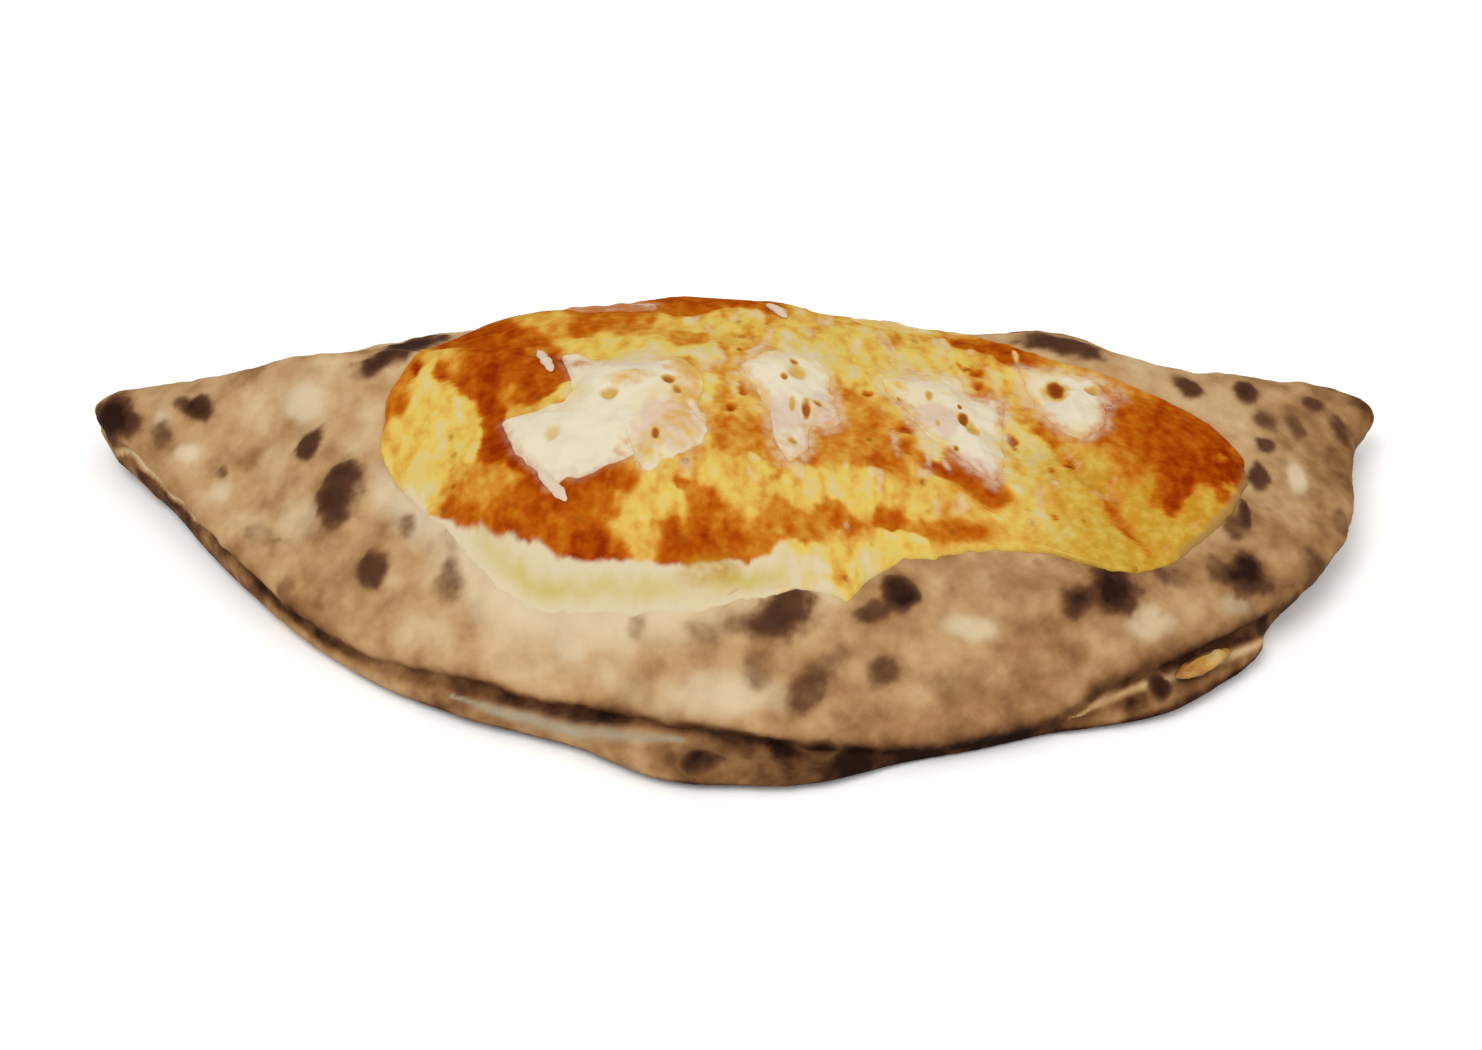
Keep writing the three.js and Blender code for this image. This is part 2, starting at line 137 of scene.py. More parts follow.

# The seam from end to end: x, how far below the dough's lower edge the crease lies, half its width, then how
# dark the crease (browning with painted shadow), the lip and the lip's foot are, the foot's height, and the
# painted shade over the crease.
SEAM = [
    (-150, 0.2, 0.8, 0.6, 0.92, 0.95, 3.5, 0.1), (-136, 0.2, 0.8, 0.6, 0.95, 0.97, 3.8, 0.12),
    (-124, 0.4, 0.9, 0.66, 0.93, 0.97, 3.8, 0.12), (-117, 0.5, 0.9, 0.72, 0.7, 0.95, 3, 0.08),
    (-108, 0.9, 1.1, 0.9, 0.74, 0.9, 2.6, 0.16), (-100, 1.6, 1.3, 0.9, 0.54, 0.76, 2, 0.2),
    (-94, 1.8, 1.6, 0.88, 0.42, 0.66, 1.6, 0.22), (-84, 1.6, 1.9, 0.86, 0.48, 0.8, 2.2, 0.24),
    (-72, 1.3, 2.1, 0.84, 0.6, 0.88, 3, 0.26), (-60, 1.2, 2.1, 0.86, 0.64, 0.9, 3.6, 0.26),
    (-50, 1, 2, 0.9, 0.6, 0.9, 3.6, 0.26), (-40, 1.6, 1.8, 0.95, 0.56, 0.88, 3, 0.22),
    (-30, 1, 1.8, 0.97, 0.56, 0.88, 3, 0.24), (-20, 0.4, 1.6, 0.94, 0.62, 0.92, 3.4, 0.22),
    (-10, -0.1, 1.5, 0.88, 0.72, 0.95, 3.8, 0.18), (0, 0, 1.4, 0.9, 0.78, 0.95, 3.4, 0.14),
    (10, -0.3, 1.4, 0.92, 0.82, 0.95, 3, 0.14), (20, 0.4, 1.8, 0.97, 0.88, 0.95, 3, 0.12),
    (30, 1, 2.4, 0.97, 0.92, 0.95, 3, 0.12), (45, 1.8, 3, 0.95, 0.94, 0.95, 3, 0.14),
    (62, 1.2, 2.6, 0.94, 0.93, 0.95, 3, 0.18), (72, -0.6, 1.8, 0.86, 0.8, 0.95, 3.4, 0.28),
    (80, -0.8, 2.1, 0.8, 0.72, 0.96, 3.8, 0.34), (90, 0.3, 1.9, 0.84, 0.76, 0.97, 5, 0.36),
    (100, 1.2, 2.2, 0.88, 0.78, 0.98, 6, 0.36), (110, 2, 2.6, 0.92, 0.7, 0.98, 5.2, 0.36),
    (120, 2.8, 2.6, 0.92, 0.74, 0.97, 3.4, 0.32), (134, 2.5, 1.8, 0.86, 0.78, 0.94, 2.4, 0.24),
]

# The seam's floury run, and the painted highlight along the lip's rolled top edge: x, how far below the
# dough's lower edge, half its width.
FLOUR_RUN = [
    (-60, 3.8, 0.4), (-52, 4.2, 1), (-40, 4.6, 1.4), (-30, 4.4, 1.5), (-20, 3.7, 1.2), (-10, 2.6, 0.5),
]
LIP_EDGE_HIGHLIGHT = [
    (-148, 0.6, 0.6), (-136, 0.5, 0.6), (-124, 0.2, 0.5), (-116, 0, 0), (70, 0.4, 0), (78, 0.7, 0.9),
    (90, 2, 0.8), (100, 3.6, 0.7), (112, 5, 0.9), (120, 5.2, 0),
]

# Where the crust is darker, browned more and on the right side partly painted shade:
# how much, over which stretch of x that sets in, and over which of y.
BROWNING_AND_SHADE = [
    (0.12, (15, 60), (10, -20)), (0.05, (-60, -90), (10, -10)), (0.045, (-50, -90), None),
    (0.12, (-125, -150), None), (0.09, (108, 124), None), (0.15, (116, 145), None),
]

# Pale patches where the dough stayed floury or was sheltered, as the scorch spots.
PALE = [
    (-131, 37, 18, 3.4, 3, 0, 1), (-124, 26, 15, 4, 3, 0, 1), (-114, 12, 15, 4, 3, 0, 0.7),
    (-96, 25, 30, 5, 7, 0, 0.8), (-104, 14, 24, 4, 4, 0, 0.25), (-94, -4, 20, 6, 6, 0, 0.45),
    (-34, -47, 21, 4, 4.4, 0, 0.72), (-2, -58, 17, 13, 4.6, 0, 0.75), (-22, -55, 16, 7, 4, 0, 0.25),
    (49, -43, 22, 6.4, 3.2, 0, 0.76), (88, -35, 17, 6, 4, 15, 0.6), (107, -26, 14, 4.4, 2.4, 15, 0.45),
    (126, 15, 17, 2.6, 5, 0, 0.9), (-50, -36, 24, 8, 4, -20, 0.7), (-30, 55, 30, 14, 8, 0, 0.6),
    (30, 58, 26, 10, 7, 0, 0.7), (-110, 48, 18, 9, 5, 0, 0.6),
]

# The topping's tones: both ends of each streak, its half width, and its warmth, which runs from 0 for pale
# cheese over 0.3 for yellow and 0.6 for orange to 1 for deep tomato. Where streaks meet, they blend.
TONES = [
    # pale and yellow cheese
    (-69, 16, -68, -4, 6.7, 0.29), (-68, 20, -66, 15, 2.6, 0.2), (-72, 24, -77, 19, 2.1, 0.68),
    (-67, -9, -63, -6, 3.7, 0.26), (-63, 18, -57, 8, 2.1, 0.28), (-57, 7, -56, -6, 1.6, 0.3),
    (-36, 27, -22, 25, 2.4, 0.32), (-17, 35, 3, 38, 2.6, 0.34), (-3, 16, 6, 23, 4.3, 0.48),
    (-23, -25, -20, -33, 3.5, 0.38), (-16, -24, -12, -27, 3.4, 0.36), (-3, -19, 5, -23, 3.7, 0.33),
    (-48, 41, -39, 37, 1.2, 0.46), (15, 35, 26, 39, 3.3, 0.37), (26, 27, 31, 22, 2.8, 0.3),
    (37, 31, 43, 31, 2.2, 0.29), (-7, -20, 7, -19, 3.7, 0.32), (14, -20, 29, -18, 3.1, 0.29),
    (32, -18, 64, -18, 3.1, 0.37), (61, -7, 64, -12, 2.9, 0.35), (70, -2, 72, -17, 3.5, 0.4),
    (76, -11, 79, -23, 4.8, 0.36), (89, -5, 88, -13, 3.1, 0.48), (85, -20, 97, -13, 3.8, 0.42),
    (61, 22, 65, 18, 2.9, 0.48), (20, 50, 44, 48, 7, 0.42), (41, 36, 49, 35, 2.2, 0.34),
    # The second streak on this row, along the fold, is painted shadow in a warmer tone.
    (74, 5, 82, -2, 2.9, 0.52), (81.4, -9.2, 87.5, -19, 1.4, 0.75), (12, 29, 18, 26, 2.4, 0.12),
    (-41, 5, -36, 11, 1.4, 0.16), (-25, 20.5, -3, 19.5, 1.6, 0.16), (-5.6, 7.5, -5.3, 3.5, 0.9, 0.2),
    (8.6, 28.4, 9.8, 26.8, 1.2, 0.22), (-1, -18, 1, -17.2, 1.4, 0.26), (66.6, 6.4, 68, 5, 1.3, 0.24),
    (13, -34.5, 16, -34.5, 1.5, 0.2), (54, 33, 58, 29, 2.4, 0.44), (59, 27.5, 60, 26.5, 1.4, 0.2),
    (-62, 14, -60.5, 10, 1.5, 0.16), (42.5, -3.5, 43.5, -5, 1, 0.2), (26, 41, 31, 40, 2, 0.2),
    (27.5, 18, 27.5, 11, 1.9, 0.26), (21, 22, 22, 19, 1.7, 0.2), (-49, 5.5, -45, 4.5, 1.2, 0.42),
    # orange
    (1, 12, 3, 10, 1.7, 0.52), (101.5, -3, 100, -8, 1.8, 0.5), (-9, -16, -8.5, -19, 1.6, 0.53),
    (-49, -12, -46.5, -14.5, 1.8, 0.58), (34, 37, 36, 35, 1.7, 0.52), (46, -18.5, 49, -18.5, 1.5, 0.48),
    (37, -28.5, 39.5, -28.5, 1.5, 0.46), (-45, 25.5, -43, 25, 1.3, 0.6), (-57, -10, -53, -17, 3.7, 0.6),
    (-28, 35, -19, 36, 2.6, 0.64), (-3, -11, 5, -6, 2.9, 0.62), (-24, -20, -22, -23, 2.1, 0.8),
    (-10, -23, -10, -24, 1.3, 0.66), (1, -15, 17, -11, 4.1, 0.6), (25, 11, 28, -9, 3.4, 0.6),
    (28, -1, 32, -10, 2.2, 0.7), (-3, 2, 3, 0, 2.4, 0.44), (7, -31, 15, -29, 2.8, 0.66),
    (19, -25, 23, -25, 1.6, 0.72), (36, -24, 42, -24, 1.5, 0.68), (45, -24, 53, -22, 1.3, 0.68),
    (85, 33, 94, 30, 1.8, 0.6), (56, 17, 57, 17, 1.9, 0.7),
    # tomato
    (-65, 41, -51, 34, 2.9, 0.86), (-53, 26, -42, 18, 5.2, 0.86), (-42, 12, -40, 9, 3.5, 0.85),
    (-54, 20, -54, 18, 1.5, 0.97), (-65, 21, -60, 15, 1.7, 0.92), (-60, 15, -54, 8, 2.6, 0.94),
    (-54, 6, -53, -5, 2.3, 0.87), (-50, -5, -48, -9, 2.6, 0.99), (-49, 11, -48, 9, 2, 0.7),
    (-45, -10, -43, -14, 1.9, 0.9), (-36, 32, -33, 33, 1.7, 0.74), (-30, 47, 6, 50, 4.5, 0.78),
    (-12, 27, -9, 28, 1.8, 0.6), (-37, -19, -29, -18, 2.4, 0.83), (-38.6, 13.2, -36.4, 14.2, 1.5, 0.82),
    (65.4, 37, 67.6, 36, 1.4, 0.82), (-74.6, 8.4, -73.6, 6.4, 1.2, 0.46), (-60, -17, -49, -23, 2.9, 0.78),
    (-49, -24, -46, -26, 2.1, 0.9), (-44, -21, -37, -30, 3.5, 0.8), (-32, -33, -29, -35, 2.4, 0.92),
    (-27, -23, -26, -26, 1.7, 0.78), (-24, -35, -22, -35, 1.6, 0.8), (-12, -32, -12, -36, 3.4, 0.84),
    (-4, -29, -3, -37, 2.9, 0.8), (-7, -28, -2, -29, 2.5, 0.72), (-5, -35, -2, -36, 3.5, 0.85),
    (31, -24, 33, -24, 1.9, 0.78), (43, -9, 45, -9, 1.5, 0.85), (49, -11, 56, -13, 3.4, 0.85),
    (51, 41, 62, 36, 1.8, 0.83), (68, 12, 72, 9, 2, 0.68), (62.5, 9, 65, 1, 1.9, 0.18),
    (-12, 12, -8, 0, 3.6, 0.5), (81, 12, 91, 23, 2.9, 0.72), (94, 17, 104, 17, 6.2, 0.83),
    (101, 9, 107, 10, 4.8, 0.9), (97, 1, 96, -5, 2.6, 0.95), (110, 9, 112, 6, 1.8, 0.96),
    (84, 21, 85, 19, 1.5, 0.86),
    # the drip at the front
    (10.5, -35.5, 13.6, -38.1, 2, 0.08), (14.8, -38.8, 16.6, -41.4, 1.7, 0),
    (22, -33.2, 21.6, -39.6, 1.8, 0.48), (26.4, -38.6, 26.8, -39.6, 1, 0.16),
    (20.4, -43.4, 20.8, -44.6, 1.5, 0.08), (25.4, -36.4, 30.4, -31.8, 1.3, 0.2),
    (31, -31, 40, -26.6, 1.1, 0.22),
    # light streaks in the tomato
    (94, 0, 92, -5, 1.9, 0.7), (86, 3, 87, -1, 2.6, 0.66),
]
STREAK_DEPTH = 0.64  # how much a streak's width counts from front to back

# How wide the pale margin at the front left is: x, its width in from the topping's edge.
PALE_MARGIN = [
    (-74, 1.6), (-64, 0.8), (-58, 2), (-52, 5.4), (-46, 7.8), (-40, 8.8), (-34, 7.6), (-20, 8), (4, 7.2),
    (12, 9),
]

# Flecks in the topping: x, y, half width, half depth, warmth.
FLECKS = [
    # browned
    (1.6, 7, 1, 1.4, 0.9), (-0.1, 1.2, 1.2, 1.6, 0.92), (28.9, 11.2, 1.3, 2.2, 0.85),
    (31, -9.5, 2.2, 2.2, 0.85), (53.9, 28.8, 1.9, 2.2, 0.88), (50.6, 30.3, 1.2, 1.8, 0.74),
    (36.8, 0.5, 1.8, 1.8, 0.92), (38, 3.5, 0.7, 2, 0.78), (37.5, -4.8, 1.2, 1.5, 0.82),
    (43.4, -8.6, 1.4, 1.3, 0.95), (54, 23.4, 0.9, 1.4, 0.84), (36, 11, 1, 1.6, 0.88),
    (61, 6.6, 0.9, 2.8, 0.98), (73.3, 2.1, 0.9, 1.4, 0.92), (69.1, -2.4, 0.8, 1.3, 0.86),
    (66.9, -15.1, 0.7, 1.4, 0.84), (9, -20.1, 1.4, 1.6, 0.66), (-10.5, -22.5, 1.2, 1.8, 0.76),
    (-53.9, 19, 1.6, 3.1, 0.97), (-71.1, 24.2, 1.5, 1.8, 0.98), (-74.1, 18, 2.9, 3.2, 0.68),
    (84.3, 19.4, 1.8, 2.2, 0.9),
    # milky and yellow
    (60, -10.4, 1.6, 1.5, 0.04), (63.5, 1.3, 2.8, 3.6, 0.16), (64.5, -14.9, 1.2, 1.2, 0.06),
    (63.8, 36.3, 0.9, 2.2, 0.06), (4.4, -15.4, 1.4, 1.8, 0.08), (24.2, 16.1, 2, 3.6, 0.26),
    (103.2, -4.6, 1, 2.2, 0.36), (108.4, 12.9, 1.7, 1.4, 0.58), (108.6, 2.1, 2.2, 1.6, 0.46),
    (88.1, -4.2, 2.2, 4, 0.48), (78.6, 0.2, 2.8, 4.2, 0.42), (56.5, -18.4, 2.4, 1.8, 0.16),
]

# Thin strings and drops of mozzarella melted into the topping, partly painted glints: both ends, from above.
STRINGS_AND_GLINTS = [
    (-10, -2, -6, -10), (-15, -7, -12, -12), (-12, -10, -9, -14), (-21.6, -12, -19.7, -19),
    (-19.7, -19, -16.6, -18), (-16.6, -18, -16.3, -14), (-7, 4, -5, 2), (-9.5, 1, -7, -6), (8, 0, 9, -9),
    (13, -5, 15.4, -9), (17.7, 7, 21.3, 4.4), (2.3, 20, 7.4, 26), (18.5, 3.6, 21.5, 1.8),
    (56.7, 22, 57.5, 11), (50, -5, 53.7, -9), (41.3, 0, 41.6, -13), (34, 0, 35, -9), (44, -6, 46, -10),
    (4.8, -15.5, 5, -15.5), (8, -13.7, 8.4, -13.7), (59.6, -10, 60, -10), (69, -6, 69.5, -7),
    (-0.5, 12.5, 0.5, 11), (23, -27, 24, -28),
]

# Each patch of mozzarella: the place it spreads from, how softly its edge melts away, and ovals where it is
# pinkish, holed or melted thin: x, y, half width, half depth, then how browned the hole is, or how much shows
# through. A corner is where a shred leaves the patch: its direction, and the patch's reach there.
PATCHES = {
    "mozzarella_left": {
        "centre": (-25.6, -0.8), "soft": 0.34, "corner": (247, 19.2),
        "pink": [(-14, -8, 9, 9), (-22, 16, 9, 5)],
        "holes": [
            (-27, 3.2, 2.2, 1.8, 0.36), (-38.9, -5.2, 2.2, 2.4, 0.24), (-14.3, 6.4, 1.8, 1.6, 0.66),
            (-12.3, 3.6, 1.3, 1.5, 0.6), (-16.7, -10.5, 1.2, 2.2, 0.75),
        ],
        "thinned": [
            (-9, 12, 6, 7, 1), (-7.5, 2.5, 6, 8, 0.9), (-10, -8, 7, 7, 0.72), (-18, -14.5, 4.4, 5, 0.72),
            (-11, 17, 8, 4.6, 0.95), (-22, 7, 5.5, 2.4, 0.74), (-22, 16, 7, 2.5, 0.55),
            (-32.7, 17.9, 4, 3.2, 0.5), (-23.7, -12.5, 1.8, 3.3, 0.55),
        ],
    },
    "mozzarella_middle": {
        "centre": (12.4, 7.2), "soft": 0.62,
        "pink": [(10, 0, 6, 7), (19, 3, 4, 7)],
        "holes": [
            (13.6, 13.9, 2.6, 2.8, 0.35), (13, 16.8, 1.1, 1.4, 0.65), (10.8, 11.3, 0.9, 1.2, 0.6),
            (12.4, 3.1, 0.8, 2.6, 0.4), (12.5, -8.5, 1.2, 1.6, 0.5), (15.4, 2.7, 1.1, 2.8, 0.78),
            (18.1, 4.9, 1.2, 1.1, 0.6),
        ],
        "thinned": [(19.5, 3, 2.6, 3.4, 0.6), (16, 20.5, 5, 2.6, 0.5), (11, -9, 4, 3, 0.5)],
    },
    "mozzarella_right": {
        "centre": (47.4, 9.2), "soft": 0.72,
        "pink": [(48, -8, 9, 5), (38, 22, 7, 5), (44, 6, 6, 6)],
        "holes": [
            (42.7, 13.7, 0.9, 2.2, 0.42), (49.9, 7.5, 1.3, 2.6, 0.86), (51.7, 5.4, 2.1, 3, 0.4),
            (44.2, 4.3, 0.7, 1.6, 0.35), (47.8, -2.6, 0.8, 1.1, 0.7), (35.9, 11.4, 0.7, 1, 0.6),
            (49.4, 11.6, 0.6, 1, 0.7),
        ],
        "thinned": [
            (35.6, 17, 3.4, 4.6, 0.66), (43.4, 22.2, 4.6, 3.3, 0.5), (44.1, -5.8, 3.1, 2.8, 0.85),
            (49, 16, 3, 2.6, 0.45),
        ],
    },
    "mozzarella_far_right": {
        "centre": (75.4, 23.2), "soft": 0.6,
        "pink": [(66, 17, 4, 4), (84, 16, 4, 5)],
        "holes": [(71.9, 24.3, 2.4, 2.9, 1), (72.2, 24, 3.6, 4.1, 0.4), (80, 26, 2, 1.6, 0.45)],
        "thinned": [(84.6, 26.6, 4.6, 5, 0.95), (66, 20, 2.6, 3, 0.6)],
    },
    "mozzarella_back_left": {
        "centre": (-28.6, 47.2), "soft": 0.5,
        "pink": [(-30, 53, 5, 3)],
        "holes": [],
        "thinned": [(-28.6, 43.5, 18, 6.4, 1.2)],
    },
    "mozzarella_back_right": {
        "centre": (35.4, 47.7), "soft": 0.5,
        "pink": [(35, 47, 5, 3)],
        "holes": [],
        "thinned": [(35.4, 43.5, 15, 4.6, 1.1)],
    },
}
THIN_TURN = np.array([[1.1, 0.25, 0], [1.1, -0.25, 0], [0, 0, 1]])  # thin places run aslant

# Shreds of mozzarella that lie apart: both ends, from above.
SHREDS = [((-43.5, 25.0), (-40.0, 16.0)), ((7.4, 46.0), (11.6, 39.4)), ((-41.4, -14.4), (-35.2, -23.4))]
SHRED_WIDTH, SHRED_LIFT = 1.2, 0.35


# ---------------------------------------------------------------- numbers


def smooth(low, high, value):
    """A soft step from 0 at low to 1 at high."""
    share = np.clip((value - low) / (high - low), 0, 1)
    return share * share * (3 - 2 * share)


def bell(away):
    """A soft ridge: 1 in its middle, and next to nothing from twice its half width on."""
    return np.exp(-(away**2))


def laid(under, share, over):
    """One value laid over another where share is 1."""
    return under * (1 - share) + share * over


def oval(plan, x, y, wide, deep):
    """How far plan points are from an oval's middle, with 1 on its outline."""
    return np.hypot((plan[:, 0] - x) / wide, (plan[:, 1] - y) / deep)


def columns(table, at, **ends):
    """A table's other columns, read between its rows at places along the first one."""
    rows = np.array(table)
    return [np.interp(at, rows[:, 0], column, **ends) for column in rows[:, 1:].T]


def swell(points, size, seed, octaves=2):
    """Seeded unevenness, about -1 to 1, at each point; its swells are about size wide."""
    draw = random.Random(seed)
    shift = Vector((draw.uniform(0, 90), draw.uniform(0, 90), draw.uniform(0, 90)))
    return np.array([noise.fractal(Vector(p) / size + shift, 1.0, 2.0, octaves) for p in points])


def flat_points(plan):
    """Points of a plan, at height zero."""
    return np.column_stack([plan, np.zeros(len(plan))])


def spot_share(points, spot, warp):
    """How far each point is into a spot on the crust: 1 at its middle, 0 outside."""
    x, y, z, wide, deep, turn, strength = spot
    off = points - np.array([x, y, z])
    slope = np.copysign(np.hypot(off[:, 1], off[:, 2]), off[:, 1] + off[:, 2])
    c, s = math.cos(math.radians(turn)), math.sin(math.radians(turn))
    reach = np.hypot((off[:, 0] * c + slope * s) / wide, (slope * c - off[:, 0] * s) / deep) + warp
    core = 1 - smooth(0.4, 1.4, reach)
    return strength * (core + (1 - core) * 0.26 * bell(np.maximum(reach, 0) / 1.7))


def string_and_glint_share(plan):
    """How far each plan point is into one of the thin strings of cheese, which are partly painted glints."""
    share = np.zeros(len(plan))
    for x0, y0, x1, y1 in STRINGS_AND_GLINTS:
        along = np.array([x1 - x0, y1 - y0], float)
        part = np.clip((plan - (x0, y0)) @ along / (along @ along), 0, 1)
        away = np.hypot(*(plan - (x0, y0) - part[:, None] * along).T)
        ends = 1 - 0.7 * abs(2 * part - 1) ** 3
        share = np.maximum(share, ends * (1 - smooth(0.1, 1.15, away)))
    return share


# ---------------------------------------------------------------- meshes


def read(mesh, kind):
    """Each point's place, co, in metres, or its direction, normal."""
    flat = np.empty(len(mesh.vertices) * 3, np.float32)
    mesh.vertices.foreach_get(kind, flat)
    return flat.reshape(-1, 3).astype(float)


def write_points(mesh, points):
    mesh.vertices.foreach_set("co", (points * MM).astype(np.float32).ravel())
    mesh.update()


def keep(mesh, **shares):
    """Keeps numbers from 0 to 1 for each point, which the piece's material reads by name."""
    for name, values in shares.items():
        layer = mesh.attributes.new(name, "FLOAT", "POINT")
        values = np.broadcast_to(values, len(mesh.vertices))
        layer.data.foreach_set("value", np.clip(values, 0, 1).astype(np.float32))


def tree_of(mesh):
    mesh.calc_loop_triangles()
    return BVHTree.FromPolygons([v.co for v in mesh.vertices], [t.vertices for t in mesh.loop_triangles])


def height(tree, x, y):
    """The highest point of a shape at a place, or None beside it."""
    hit = tree.ray_cast(Vector((x * MM, y * MM, 0.2)), DOWN)[0]
    return None if hit is None else hit.z / MM


def front_of(tree, x, z):
    """The foremost point of a shape at a height, or None beside it."""
    hit = tree.ray_cast(Vector((x, -200, z)) * MM, TO_BACK)[0]
    return None if hit is None else hit.y / MM


def new_piece(name, shape):
    """Makes a piece of a bmesh."""
    mesh = bpy.data.meshes.new(name)
    shape.to_mesh(mesh)
    shape.free()
    piece = bpy.data.objects.new(name, mesh)
    bpy.context.scene.collection.objects.link(piece)
    return piece


def rounded_copy(node, name, voxel):
    """A copy of a node with its facets rounded, in even small faces."""
    shape = bmesh.new()
    shape.from_mesh(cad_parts[node].data)
    bmesh.ops.remove_doubles(shape, verts=shape.verts, dist=1e-6)
    bmesh.ops.join_triangles(shape, faces=shape.faces, angle_face_threshold=0.7, angle_shape_threshold=0.9)
    piece = new_piece(name, shape)
    rounding = piece.modifiers.new("rounding", "SUBSURF")
    rounding.levels = rounding.render_levels = ROUNDING
    evening = piece.modifiers.new("evening", "REMESH")
    evening.mode = "VOXEL"
    evening.voxel_size = voxel * MM
    shown = piece.evaluated_get(bpy.context.evaluated_depsgraph_get())
    mesh = bpy.data.meshes.new_from_object(shown)
    piece.modifiers.clear()
    piece.data = mesh
    mesh.name = name
    shape = bmesh.new()
    shape.from_mesh(mesh)
    every_way = {"use_axis_x": True, "use_axis_y": True, "use_axis_z": True}
    for _ in range(ROUNDING):
        bmesh.ops.smooth_vert(shape, verts=shape.verts, factor=0.5, **every_way)
    shape.to_mesh(mesh)
    shape.free()
    return piece


def finish_piece(piece, material, slot, *nodes):
    """Gives the piece its finish, shades it smooth, hangs it on the root and hides the nodes it stands for.
    """
    piece.data.materials.clear()
    piece.data.materials.append(material)
    piece.data.shade_smooth()
    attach(piece, "root")
    if nodes:
        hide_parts(*nodes)


# ---------------------------------------------------------------- melted layers


def reach_of(tree, centre, ways):
    """How far a node reaches from its centre in each direction, seen from above."""
    step, finest = 1.5, 0.05
    reaches = []
    for way in ways:
        near, far = 0.0, step
        while height(tree, *(centre + way * far)) is not None:
            near, far = far, far + step
        while far - near > finest:
            middle = (near + far) / 2
            inside = height(tree, *(centre + way * middle)) is not None
            near, far = (middle, far) if inside else (near, middle)
        reaches.append(near)
    return np.array(reaches)


class Layer:
    """A soft layer that has melted over something: an outline seen from above, and a thickness."""

    def __init__(self, node, centre, spokes, ragged, seed, corner=None):
        self.centre = np.array(centre, float)
        self.spokes = spokes
        turns = np.arange(spokes) * TURN / spokes
        ways = np.column_stack([np.cos(turns), np.sin(turns)])
        reach = reach_of(tree_of(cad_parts[node].data), self.centre, ways)
        if corner:
            direction, kept = corner
            reach = np.minimum(reach, kept + 8 * smooth(8, 13, abs(np.degrees(turns) - direction)))
        rim = flat_points(self.centre + ways * reach[:, None])
        reach += ragged * (0.8 * swell(rim, 7, seed) + 0.5 * swell(rim, 2.2, seed + 1) - 0.15)
        self.reach = reach
        self.rim = KDTree(spokes)
        for i, (x, y) in enumerate(self.centre + ways * reach[:, None]):
            self.rim.insert((x, y, 0), i)
        self.rim.balance()

    def reach_at(self, turns):
        place = turns / TURN * self.spokes
        low = np.floor(place).astype(int)
        return laid(self.reach[low % self.spokes], place - low, self.reach[(low + 1) % self.spokes])

    def inset(self, plan):
        """Distance from each point to the outline, negative outside it."""
        off = plan - self.centre
        turns = np.arctan2(off[:, 1], off[:, 0]) % TURN
        inside = np.hypot(off[:, 0], off[:, 1]) <= self.reach_at(turns)
        away = np.array([self.rim.find((x, y, 0))[2] for x, y in plan])
        return np.where(inside, away, -away)

    def sheet(self, name, rings, carrier, thickness, edge, relief):
        """The layer as a closed sheet on its carrier, its points seen from above, and how far in they lie.

        relief gives extra height at plan points, and edge the height of the rounded rim there.
        """
        shape = bmesh.new()
        bmesh.ops.create_uvsphere(shape, u_segments=self.spokes, v_segments=rings, radius=1)
        ball = np.array([v.co for v in shape.verts])
        turns = np.arctan2(ball[:, 1], ball[:, 0]) % TURN
        fall = np.arccos(np.clip(ball[:, 2], -1, 1)) / math.pi
        upper = fall <= TOP_SHARE
        over = 1 - (1 - np.clip(fall / TOP_SHARE, 0, 1)) ** 1.5
        below = 1 - np.clip((fall - TOP_SHARE) / (1 - TOP_SHARE), 0, 1) ** 1.3
        share = np.where(upper, over, below)
        reach = self.reach_at(turns) * share
        plan = self.centre + np.column_stack([np.cos(turns), np.sin(turns)]) * reach[:, None]
        inset = np.where(share > 0.9999, 0, np.abs(self.inset(plan)))
        ground = np.array([height(carrier, x, y) or 0.0 for x, y in plan])
        edge = edge(plan)
        round_edge = np.sqrt(1 - (1 - np.clip(inset / (1.9 * edge), 0, 1)) ** 2)
        bulk = edge * round_edge + np.maximum(thickness - edge, 0) * smooth(0, 9, inset)
        top = ground + bulk + relief(plan, inset) * smooth(0, 2.5, inset) - 0.1 * (1 - round_edge)
        under = ground - SUNK * smooth(0, 1.5, inset) - 0.1
        points = np.column_stack([plan, np.where(upper, top, under)])
        for v, p in zip(shape.verts, points):
            v.co = Vector(p) * MM
        bmesh.ops.recalc_face_normals(shape, faces=shape.faces)
        return new_piece(name, shape), plan, inset


# ---------------------------------------------------------------- shader parts


def tone(red, green, blue, light=FOOD_LIGHT):
    """A colour as it looks under the studio's light, from 0 to 255 on each channel."""
    parts = [c / 255 for c in (red, green, blue)]
    plain = [c / 12.92 if c <= 0.04045 else ((c + 0.055) / 1.055) ** 2.4 for c in parts]
    return (*[c / light for c in plain], 1.0)


